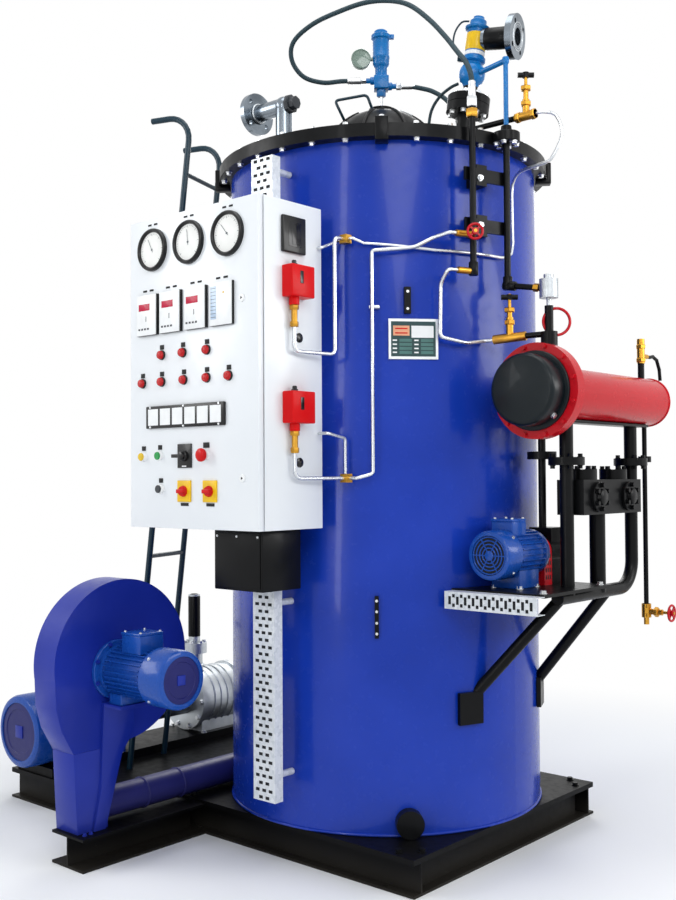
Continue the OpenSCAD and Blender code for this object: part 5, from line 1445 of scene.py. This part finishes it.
@dataclass
class Motor(Assembly):
    """Finned electric motor with a fan cowl, a terminal box and feet."""

    name: str
    place: Matrix
    barrel_r: float
    barrel_l: float
    cowl_r: float
    cowl_l: float
    fins: int
    box: tuple[Point, Point]
    feet: tuple[Point, Point]
    flange: Pair = (0.0, 0.0)
    rings: bool = True

    def build(self) -> None:
        """Builds the motor; the placement's +Z runs from the drive end to the cowl."""
        p, r, end = self.palette, self.barrel_r, self.barrel_l
        tall = end + self.cowl_l
        body = Piece(self.name + "_body", p.motor, "machine_blue")
        core = r * 0.90
        shield = min(0.030, 0.14 * end)
        if self.flange[0]:
            f, t = self.flange
            body.lathe([(f - 0.002, 0.0), (f, 0.002), (f, t - 0.002), (f - 0.002, t), (core, t + 0.001)],
                       self.place, 56)
        body.lathe([(core * 0.8, 0.0), (r * 0.97, 0.004), (r, 0.008), (r, shield), (core, shield + 0.002),
                    (core, end - shield * 0.6), (r * 0.98, end - shield * 0.6 + 0.002), (r * 0.98, end + 0.002)],
                   self.place, 56)
        body.take(self.trees.ring.grow(p.motor, Count=self.fins, Radius=core - 0.002, Reach=r - core + 0.002,
                                       Width=0.19 * r * 6 / self.fins, Length=end - 1.6 * shield - 0.004),
                  self.place @ shift(0, 0, shield + 0.003))
        c, e = self.cowl_r, 0.12 * self.cowl_r
        body.lathe([(c - 0.002, end - 0.004), (c, end - 0.002), (c, tall - e), (c - 0.3 * e, tall - 0.35 * e),
                    (c - e, tall), (0.80 * c, tall), (0.79 * c, tall - 0.006)], self.place, 56)
        body.block(self.feet[0], self.feet[1], 0.003)
        low, high = self.box
        body.block(low, (high[0], high[1], high[2] - 0.008), 0.003)
        body.block((low[0] - 0.002, low[1] - 0.002, high[2] - 0.009), high, 0.003)
        body.close(self.name)
        self._grille(tall)
        self._screws(low, high)

    def _grille(self, tall: float) -> None:
        """Builds the end of the cowl: a ring guard over a disc of painted shade, or a plain plate in a darker blue
        as painted shade, with a square.
        """
        p, c = self.palette, self.cowl_r
        if not self.rings:
            # The plate takes the darker blue as painted shade in the recessed end of the cowl.
            plate = Piece(self.name + "_end", p.deep, "machine_blue")
            plate.lathe([(0.795 * c, tall - 0.008), (0.795 * c, tall - 0.004), (0.62 * c, tall - 0.003),
                         (0.60 * c, tall - 0.0055)], self.place, 48).close()
            square, half = Piece(self.name + "_square", p.machine, "machine_blue"), 0.17 * c
            square.block((-half, -half, tall - 0.007), (half, half, tall - 0.002), 0.002, self.place).close()
            return
        # A near-black disc under the guard is painted shade inside the cowl.
        dark = Piece(self.name + "_recess", p.hole_shade, "instrument")
        dark.lathe([(0.78 * c, tall - 0.0065), (0.78 * c, tall - 0.0045)], self.place, 48).close()
        guard = Piece(self.name + "_guard", p.motor, "machine_blue")
        for k in range(1, 5):
            guard.torus(c * (0.16 + 0.145 * k), 0.0022, self.place @ shift(0, 0, tall - 0.0035), 48, 8)
        guard.lathe([(0.20 * c, tall - 0.006), (0.20 * c, tall - 0.002), (0.17 * c, tall - 0.001)], self.place, 24)
        guard.take(self.trees.ring.grow(p.motor, Count=6, Radius=0.18 * c, Reach=0.62 * c, Width=0.0035,
                                        Length=0.003), self.place @ shift(0, 0, tall - 0.0060)).close()

    def _screws(self, low: Point, high: Point) -> None:
        """Sets the lid screws of the terminal box and the cowl screws."""
        screws = Screws(self.trees)
        for x in (low[0] + 0.008, high[0] - 0.008):
            for y in (low[1] + 0.008, high[1] - 0.008):
                screws.at((x, y, high[2]), UP)
        for k in range(4):
            out = polar(1.0, 45 + 90 * k, 0)
            screws.at(self.place @ (out * self.cowl_r + UP * (self.barrel_l + 0.018)), self.place.to_3x3() @ out)
        screws.close(self.name + "_screws", self.palette.zinc, "tube_silver", Head.COWL)


@dataclass
class Blower(Assembly):
    """Combustion fan with its stand, duct and motor."""

    x: Pair = (-0.515, -0.405)
    axis: Pair = (-0.841, 0.584)
    scroll: Pair = (-0.812, 0.608)
    inlet_r: float = 0.118
    seat_z: float = 0.486
    motor: tuple[float, float, float, float] = (0.084, 0.223, 0.088, 0.095)
    duct: Point = (-0.460, 0.158, 0.047)
    duct_ribs: Pair = (-0.70, -0.55)
    foot_bolts: Pair = (-0.972, -0.950)
    skid_z: float = 0.100

    def build(self) -> None:
        """Builds the fan."""
        p = self.palette
        x0, x1 = self.x
        self.skin("fan_scroll", p.machine, "machine_blue", "fan_casing", 0.004)
        self.skin("fan_foot", p.machine, "machine_blue", "fan_stand")
        ring = Piece("fan_inlet_ring", p.machine, "machine_blue")
        back = aim((x0 - 0.036, *self.scroll), LEFT)
        ring.torus(self.inlet_r - 0.006, 0.006, back, 64).close()
        bolts = Screws(self.trees)
        bolts.circle(aim((x0, *self.scroll), LEFT), 0.135, 8, 22.5)
        bolts.circle(aim((x1 + 0.014, *self.axis), RIGHT), 0.086, 8, 22.5)
        for y in self.foot_bolts:
            bolts.at((x1 + 0.020, y, self.skid_z), UP)
        bolts.close("fan_bolts", p.machine, "machine_blue", Head.FAN)
        y, z = self.axis
        br, bl, cr, cl = self.motor
        Motor(p, self.trees, "fan_motor", aim((x1, y, z), RIGHT), br - 0.006, bl, cr, cl, fins=30,
              box=((x1 + 0.088, y - 0.045, z + br - 0.020), (x1 + 0.178, y + 0.045, z + br + 0.044)),
              feet=((x1 + 0.030, y - 0.048, self.seat_z), (x1 + 0.090, y + 0.048, z - br + 0.020)),
              flange=(br + 0.008, 0.014), rings=False).build()
        # The ribs take the duct's darker blue, which is painted shade under the fan.
        rib, (dx, dz, dr) = Piece("duct_ribs", p.deep, "machine_blue"), self.duct
        for y in self.duct_ribs:
            rib.torus(dr + 0.0005, 0.003, aim((dx, y, dz), BACK), 48, 8)
        rib.close()


@dataclass
class FeedPump(Assembly):
    """Feed water pump with its motor."""

    x: float = -1.085
    z: float = 0.270
    front: float = -0.760
    motor: tuple[float, float, float, float] = (0.118, 0.350, 0.130, 0.120)
    pump_y: Pair = (0.015, 0.265)
    base_z: float = 0.140
    neck_z: float = 0.400
    flange_z: float = 0.494
    bands: Row = (0.085, 0.120, 0.155, 0.190)
    foot_bolts: Row = (-0.665, -0.380, 0.040, 0.255)

    def build(self) -> None:
        """Builds the motor and the bolts and bands of the pump."""
        p = self.palette
        br, bl, cr, cl = self.motor
        back = self.front + bl + cl
        x, z, front = self.x, self.z, self.front
        Motor(p, self.trees, "feed_motor", aim((x, back, z), FRONT), br, bl, cr, cl, fins=40,
              box=((x - 0.055, back - 0.230, z + br - 0.030), (x + 0.055, back - 0.110, z + cr)),
              feet=((x - 0.105, front + 0.150, self.base_z), (x + 0.105, front + 0.400, z - 0.080)),
              rings=False).build()
        bolts = Screws(self.trees)
        y0, y1 = self.pump_y
        bolts.circle(aim((x, y0, z), FRONT), 0.112, 10)
        bolts.circle(aim((x, y1, z), BACK), 0.112, 10)
        bolts.circle(shift(x, y0 + 0.060, self.flange_z), 0.040, 6)
        for side in (-0.098, 0.098):
            for y in self.foot_bolts:
                bolts.at((x + side, y, self.base_z), UP)
        bolts.close("pump_bolts", p.zinc, "tube_silver")
        dress = Piece("pump_details", p.cast, "cast_silver")
        for y in self.bands:
            dress.torus(0.118, 0.004, aim((x, y, z), BACK), 64, 8)
        dress.torus(0.036, 0.006, shift(x, y0 + 0.060, self.neck_z), 40, 10).close()
        vessel = Piece("air_vessel_paint", p.black, "pipe_black")
        vessel.lathe([(0.0245, 0.520), (0.0252, 0.523), (0.0252, 0.684), (0.022, 0.692), (0.012, 0.697)],
                     shift(x, y0 + 0.060, 0), 40).close()


@dataclass
class OilHeater(Assembly):
    """Red oil heater with its cap, posts, frame, pump set and strainer."""

    x: float = 0.716
    z: float = 1.430
    face: float = -0.180
    cap_r: float = 0.106
    cap_y: float = -0.258
    posts: Pair = (0.0, 0.425)
    plate_z: float = 1.213
    motor_x: float = 0.596
    motor_z: float = 0.946
    motor_y: float = -0.250
    deck_z: float = 0.843
    strainer: Pair = (1.168, 1.200)
    covers: Pair = (0.100, 0.300)
    welds: Pair = (-0.139, 0.558)
    eye: Point = (0.733, -0.079, 1.642)

    def build(self) -> None:
        """Builds all of it."""
        self._vessel()
        self._posts()
        self._pump_set()

    def _vessel(self) -> None:
        """Bolts the cap on and adds bands, the saddle and the lifting ring."""
        p = self.palette
        cap, front = Piece("heater_cover", p.cap_black, "pipe_black"), aim((self.x, self.face, self.z), FRONT)
        r, depth = self.cap_r, self.face - self.cap_y
        cap.lathe([(r + 0.010, 0.0), (r + 0.012, 0.002), (r + 0.012, 0.008), (r + 0.010, 0.010), (r, 0.011),
                   (r, depth - 0.014), (r - 0.002, depth - 0.007), (r - 0.007, depth - 0.002), (r - 0.013, depth)],
                  front, 80).close("heater_cap")
        Screws(self.trees).circle(front, 0.132, 12, 15).close("flange_bolts", p.red, "red_paint", Head.HEATER)
        Screws(self.trees).at((self.x + 0.0752, self.face - 0.024, self.z - 0.0752), (0.7, 0, -0.7)).close(
            "cap_screw", p.zinc, "tube_silver", Head.CAP)
        band = Piece("vessel_welds", p.red, "red_paint")
        for y in self.welds:
            band.torus(0.0805, 0.003, aim((self.x, y, self.z), BACK), 64, 8)
        band.torus(0.040, 0.0045, aim(self.eye, (0.66, -0.75, 0)), 40, 10).close()
        saddle = Piece("vessel_saddle", p.black, "pipe_black")
        saddle.block((self.x - 0.030, -0.020, self.z - 0.0880), (self.x + 0.030, 0.500, self.z - 0.0795), 0.001)
        saddle.close()

    def _posts(self) -> None:
        """Bolts the post flanges and the strainer covers."""
        p = self.palette
        bolts = Screws(self.trees)
        for y in self.posts:
            bolts.circle(shift(self.x, y, self.plate_z + 0.024), 0.043, 4, 45)
            bolts.circle(shift(self.x, y, self.plate_z) @ HEAD_DOWN, 0.043, 4, 45)
        boss = Piece("strainer_bosses", p.black, "pipe_black")
        for y in self.covers:
            bolts.circle(shift(self.x, y, self.strainer[1]), 0.034, 6, 30)
            for side in (-1, 1):
                face = aim((self.x + side * 0.0455, y + 0.012, self.strainer[0] - 0.054), (side, 0, 0))
                boss.lathe([(0.047, 0.0), (0.047, 0.010), (0.045, 0.012), (0.026, 0.013), (0.024, 0.022),
                            (0.021, 0.024)], face)
                bolts.circle(face @ shift(0, 0, 0.012), 0.037, 6, 0)
        boss.close()
        bolts.close("post_bolts", p.black, "pipe_black", Head.POST)

    def _pump_set(self) -> None:
        """Builds the oil motor and dresses the guard, with painted shade in its holes, and the plate."""
        p, x, z, y = self.palette, self.motor_x, self.motor_z, self.motor_y
        Motor(p, self.trees, "oil_motor", aim((x, y + 0.240, z), FRONT), 0.070, 0.170, 0.074, 0.070, fins=26,
              box=((x - 0.038, y + 0.074, z + 0.050), (x + 0.038, y + 0.150, z + 0.106)),
              feet=((x - 0.050, y + 0.090, self.deck_z), (x + 0.050, y + 0.200, z - 0.046))).build()
        bolts = Screws(self.trees)
        for a, b in ((x - 0.044, y + 0.098), (x + 0.044, y + 0.098), (x - 0.044, y + 0.192),
                     (x + 0.044, y + 0.192), (self.x + 0.045, y + 0.030), (self.x + 0.045, 0.120)):
            bolts.at((a, b, self.deck_z), UP)
        bolts.close("plate_bolts", p.zinc, "tube_silver")
        # Dark blocks on the guard are painted shade where its holes are.
        Piece("guard_hole_shade", p.hole_shade, "instrument").grid(
            self.trees, aim((x + 0.046, 0.012, z - 0.046), RIGHT, 90), (3, 4), (0.012, 0.022),
            (0.006, 0.013, 0.0012)).close()


@dataclass
class PipeWork(Assembly):
    """Fittings of the upright pipes, tubes and valves beside the casing."""

    right_pipe: Pair = (0.5803, -0.1065)
    left_pipe: Pair = (0.5415, -0.2343)
    rim_z: float = 2.240
    port: Point = (0.4270, -0.0656, 2.4631)
    left_end: float = 1.7970
    inlet: Point = (0.716, -0.094, 1.742)
    clip: Pair = (-53.7, 1.690)
    clamps: tuple[Point, ...] = ((0.5423, -0.1965, 2.087), (0.5423, -0.1965, 1.943))
    casing_r: float = 0.525
    top_valve: Point = (0.634, -0.078, 2.286)
    front_valve: Point = (0.598, -0.1255, 1.601)
    stop_valve: Point = (0.716, 0.512, 1.562)
    drain_valve: Point = (0.716, 0.530, 0.718)

    def build(self) -> None:
        """Builds all of it."""
        self._fittings()
        self._runs()

    def _runs(self) -> None:
        """Paints the tube to the safety valve and adds elbows, a clip and a nipple to the pipes."""
        p = self.palette
        top, low, foot = (Vector((*self.right_pipe, z)) for z in (
            self.port[2], self.inlet[2] + 0.023, self.rim_z + 0.022))
        tube = Piece("vent_tube", p.azure, "machine_blue")
        for start, end, trim, r in ((foot, top, 0.0, 0.0076), (top, Vector(self.port), 0.0445, 0.0086)):
            run = end - start
            tube.lathe([(r - 0.0004, 0.0), (r, 0.002), (r, run.length - trim)], aim(start, run), 20)
        tube.collar(0.0112, -0.011, 0.011, 0.0027, shift(*top), 20, 0.005).close()
        elbow, way = Piece("pipe_elbows", p.black, "pipe_black"), Vector(self.inlet) - low
        for spot, ahead in (((*self.left_pipe, self.left_end), UP), (low, UP), (low, way)):
            elbow.lathe([(0.0132, -0.013), (0.0145, -0.011), (0.0145, 0.026), (0.0130, 0.028)],
                        aim(spot, ahead), 24)
        elbow.close()
        around, height = self.clip
        clip = Piece("tube_clip", p.zinc, "tube_silver")
        clip.block((-0.002, -0.016, -0.005), (0.021, 0.016, 0.005), 0.002,
                   shift(*polar(self.casing_r, around, height)) @ turned(around)).close()
        nipple = Piece("inlet_nipple", p.brass, "brass")
        nipple.collar(0.013, 0.0, 0.018, 0.002, aim(low + way.normalized() * 0.088, way)).close()

    def _fittings(self) -> None:
        """Builds the tube skin, the nuts on the valves and the flange on the rim."""
        p = self.palette
        self.skin("impulse_tube_bends", p.steel, "tube_silver", "impulse_tubes", 0.0, sharp=60.0)
        nuts = Piece("valve_nuts", p.brass, "brass")
        for valve, way, spots in (
                (self.top_valve, RIGHT, (-0.034, 0.020)), (self.top_valve, UP, (0.030, 0.078)),
                (self.front_valve, UP, (0.040, 0.078)), (self.drain_valve, UP, (-0.018, 0.012)),
                (self.drain_valve, RIGHT, (0.030,)), (self.stop_valve, UP, (0.004, 0.050))):
            for h in spots:
                nuts.collar(0.0170, h, h + 0.014, 0.002, aim(valve, way))
        nuts.close()
        plate = Piece("pipe_flange", p.black, "pipe_black")
        here = shift(*self.right_pipe, self.rim_z)
        plate.lathe([(0.040, -0.034), (0.042, -0.032), (0.042, -0.005), (0.040, -0.003), (0.018, -0.002),
                     (0.016, 0.018), (0.013, 0.020)], here).close()
        bolts = Screws(self.trees).circle(here @ shift(0, 0, -0.034) @ HEAD_DOWN, 0.032, 6, 10)
        for spot in self.clamps:
            bolts.at(spot, (0.957, -0.290, 0))
        bolts.close("pipe_flange_bolts", p.zinc, "tube_silver", Head.PIPE)


@dataclass
class Casing(Assembly):
    """Blue casing with its bolted rim and the plate on it."""

    radius: float = 0.525
    rim_z: Pair = (2.200, 2.240)
    bolt_r: float = 0.550
    clamp_r: float = 0.554
    clamp_h: float = 0.016
    rim_bolts: int = 32
    clamps: Row = (-51.0, 35.0, 129.0, -139.0)
    plate_a: float = -41.0
    lugs: tuple[tuple[float, float, Row], ...] = (
        (-43.0, 0.0145, (1.685, 1.737)), (-53.6, 0.0125, (0.712, 0.744, 0.778, 0.810)))

    def build(self) -> None:
        """Builds the bolts of the rim and its clamps, the plate with its rivets and the screws of the lugs."""
        p = self.palette
        bolts, (under, over) = Screws(self.trees), self.rim_z
        for k in range(self.rim_bolts):
            a = 360 * k / self.rim_bolts + 5
            if all(abs((a - c + 180) % 360 - 180) > 4 for c in self.clamps):
                bolts.at(polar(self.bolt_r, a, over), UP).at(polar(self.bolt_r, a, under), DOWN)
        for c in self.clamps:
            bolts.at(polar(self.clamp_r, c, over + self.clamp_h), UP)
        bolts.close("rim_bolts", p.zinc, "tube_silver", Head.RIM)
        self.skin("rim_clamp_bodies", p.black, "pipe_black", "rim_clamps")
        place = self._plate()
        lugs, rivets = Screws(self.trees), Screws(self.trees)
        for angle, proud, heights in self.lugs:
            for z in heights:
                lugs.at(polar(self.radius + proud, angle, z), polar(1.0, angle, 0))
        lugs.close("lug_screws", p.zinc, "tube_silver", Head.LUG)
        for u in (-0.0705, 0.0705):
            for v in (-0.0555, 0.0555):
                rivets.at(place @ Vector((u, v, 0.0)), polar(1.0, self.plate_a, 0))
        rivets.close("plate_rivets", p.zinc, "tube_silver", Head.RIVET)

    def _plate(self) -> Matrix:
        """Builds the plate with its blank fields.

        Returns:
            Placement of its middle, +Z outwards.
        """
        p, trees = self.palette, self.trees
        out, side = polar(1.0, self.plate_a, 0), polar(1.0, self.plate_a + 90, 0)
        low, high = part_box("nameplate")
        centre = out * (self.radius + 0.003) + UP * ((low.z + high.z) / 2)
        place = shift(*centre) @ Matrix((side, UP, out)).transposed().to_4x4()
        ground = Piece("plate_ground", p.plate_dark, "instrument")
        ground.block((-0.0685, -0.0530, -0.0005), (0.0685, 0.0530, 0.0005), 0.0, place).close()
        table, pitch = (2, 4), (0.066, 0.0122)
        field = Piece("plate_fields", p.plate_green, "instrument")
        field.grid(trees, place @ shift(0.009, -0.0225, 0), table, pitch, (0.038, 0.0088, 0.0016)).close()
        blank = Piece("plate_blanks", p.ivory, "panel_white")
        blank.grid(trees, place @ shift(-0.024, -0.0225, 0), table, pitch, (0.013, 0.0042, 0.0018))
        blank.block((-0.006, 0.004, -0.0005), (0.062, 0.040, 0.0008), 0.0, place).close()
        header = Piece("plate_header", p.plate_orange, "red_paint")
        header.block((-0.062, 0.010, -0.0005), (-0.012, 0.040, 0.0008), 0.0, place).close()
        lines = Piece("plate_lines", p.knob_red, "red_paint")
        lines.grid(trees, place @ shift(-0.037, 0.0245, 0), (1, 2), (0.0, 0.0135), (0.038, 0.004, 0.002)).close()
        return place


@dataclass
class Trays(Assembly):
    """Slotted cable trays under and above the cabinet and below the oil plate."""

    x: Pair = (0.0098, 0.0998)
    face: float = -0.645
    low_z: float = 0.215
    high_z: float = 1.982
    step: Pair = (0.027, 0.0426)
    shelf_x: Pair = (0.466, 0.784)
    shelf_y: float = -0.292
    shelf_z: Pair = (0.786, 0.838)

    def build(self) -> None:
        """Lays dark blocks in rows on the trays as painted shade where the slots and holes are."""
        dark = Piece("tray_slot_shade", self.palette.hole_shade, "instrument")
        mid = (self.x[0] + self.x[1]) / 2
        along = self.step[1]
        for first, rows, columns in ((self.low_z + 0.032, 15, 3), (self.low_z + 0.0107, 15, 2),
                                     (self.high_z + 0.0312, 4, 3), (self.high_z + 0.0099, 4, 2)):
            dark.grid(self.trees, aim((mid, self.face, first + along * (rows - 1) / 2), FRONT), (columns, rows),
                      self.step, (0.015, 0.009, 0.0012))
        middle = (sum(self.shelf_x) / 2, self.shelf_y, sum(self.shelf_z) / 2)
        for columns, rows, wide, high in ((11, 1, 0.009, 0.024), (10, 2, 0.009, 0.010)):
            dark.grid(self.trees, aim(middle, FRONT), (columns, rows), (0.028, 0.028), (wide, high, 0.0012))
        dark.close()


@dataclass
class Skid(Assembly):
    """Black beams and deck with their bolts."""

    edge: float = 0.487
    deck: float = 0.108
    pitch: float = 0.22
    clear_r: float = 0.55
    weld_r: float = 0.5262
    weld: float = 0.0045

    def build(self) -> None:
        """Sets the deck bolts and the weld at the foot of the casing."""
        p = self.palette
        bolts = Screws(self.trees)
        for k in range(-2, 3):
            t = k * self.pitch
            for spot in ((t, -self.edge), (t, self.edge), (self.edge, t)):
                if math.hypot(*spot) > self.clear_r:
                    bolts.at((*spot, self.deck), UP)
        bolts.close("deck_bolts", p.black, "skid_black", Head.DECK)
        weld = Piece("casing_weld", p.casing, "casing_blue")
        weld.torus(self.weld_r, self.weld, shift(0, 0, self.deck + self.weld), 160, 8).close()


@dataclass
class Studio:
    """Floor, backdrop, soft light and camera."""

    eye: Point = (2.38573, -2.94792, 1.18018)
    azimuth: float = 41.39005
    pitch: float = 1.43134
    roll: float = -0.33338
    lens: float = 43.484
    sensor: float = 36.0
    fill: float = 0.40
    floor_half: float = 14.0

    def build(self) -> None:
        """Builds the whole studio."""
        self._camera()
        self._world()
        self._floor()
        self._lamps()

    def _camera(self) -> None:
        """Sets the camera at the viewing angle."""
        a, e, r = (math.radians(v) for v in (self.azimuth, self.pitch, self.roll))
        ahead = Vector((-math.sin(a) * math.cos(e), math.cos(a) * math.cos(e), math.sin(e)))
        right = Vector((math.cos(a), math.sin(a), 0.0))
        up = right.cross(ahead)
        across, above = math.cos(r) * right + math.sin(r) * up, math.cos(r) * up - math.sin(r) * right
        data = bpy.data.cameras.new("camera")
        data.lens, data.sensor_width, data.clip_end = self.lens, self.sensor, 100.0
        camera = stand("camera", data)
        camera.matrix_world = shift(*self.eye) @ Matrix((across, above, -ahead)).transposed().to_4x4()
        bpy.context.scene.camera = camera
        bpy.context.scene.view_settings.view_transform = "Standard"

    def _world(self) -> None:
        """Sets the even light of the room, white where the camera sees it."""
        s = ShaderTree("room", world=True)
        bpy.context.scene.world = s.dress(Color=srgb("e8eef6"), Strength=self.fill)
        s.backdrop("ShaderNodeBackground")

    def _floor(self) -> None:
        """Lays the pale floor."""
        mesh, half = bpy.data.meshes.new("floor"), self.floor_half
        mesh.from_pydata([(-half, -half, 0), (half, -half, 0), (half, half, 0), (-half, half, 0)], [],
                         [(0, 1, 2, 3)])
        s = ShaderTree("floor")
        x, y, _ = s.axes(s.place())
        far = (x * x + y * y).between(1.6, 7.5)
        paper = s.dress(Base_Color=srgb("f4f5f6"), Roughness=0.7 + 0.1 * s.noise(3.0))
        s.backdrop("ShaderNodeEmission", far)
        mesh.materials.append(paper)
        stand("floor", mesh)

    def _lamps(self) -> None:
        """Hangs the soft boxes."""
        for name, spot, target, size, watts in (
                ("key", (4.2, -3.4, 4.0), (0, 0, 1.2), (2.4, 2.4), 80.0),
                ("left", (-3.4, -3.8, 3.2), (-0.3, -0.4, 1.0), (1.6, 3.2), 90.0),
                ("right", (3.6, 1.2, 2.4), (0.3, 0.0, 1.3), (0.9, 3.4), 60.0),
                ("strip", (0.85, -4.6, 1.9), (0.1, -0.5, 1.3), (0.35, 3.4), 30.0),
                ("back", (-2.6, 3.4, 3.6), (0, 0, 1.4), (2.4, 2.4), 70.0),
                ("top", (0.6, -0.6, 5.4), (0, 0, 1.2), (2.6, 2.6), 70.0)):
            data = bpy.data.lights.new(name, "AREA")
            data.shape, data.size, data.size_y, data.energy = "RECTANGLE", size[0], size[1], watts
            stand(name, data).matrix_world = aim(spot, Vector(spot) - Vector(target))


def dress_nodes(palette: Palette) -> None:
    """Gives every node of the part the finish of its material slot."""
    finishes = palette.by_slot()
    # The air duct takes the darker blue as painted shade, since it sits under the fan.
    special = {"ladder_rails": palette.teal, "ladder_rungs": palette.teal, "pump_base": palette.skid,
               "burner_dome": palette.black, "air_duct": palette.deep, "steam_outlet": palette.chrome,
               "valve_outlet": palette.chrome}
    for row in frame["record"]["subparts"]:
        for place in frame["nodes"][row["node"]].material_slots:
            place.material = special.get(row["node"], finishes[row["material_slot"]])


def main() -> None:
    """Builds the scene."""
    logging.basicConfig(level=logging.INFO, format="%(message)s")
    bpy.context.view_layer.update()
    Studio().build()
    palette, trees = Palette(), Trees()
    dress_nodes(palette)
    for assembly in (BurnerHead, Casing, Skid, ControlPanel, SafetyValve, SteamOutlet, Blower, FeedPump, OilHeater,
                     PipeWork, Trays):
        LOG.info("building %s", assembly.__name__)
        assembly(palette, trees).build()


if __name__ == "__main__":
    main()
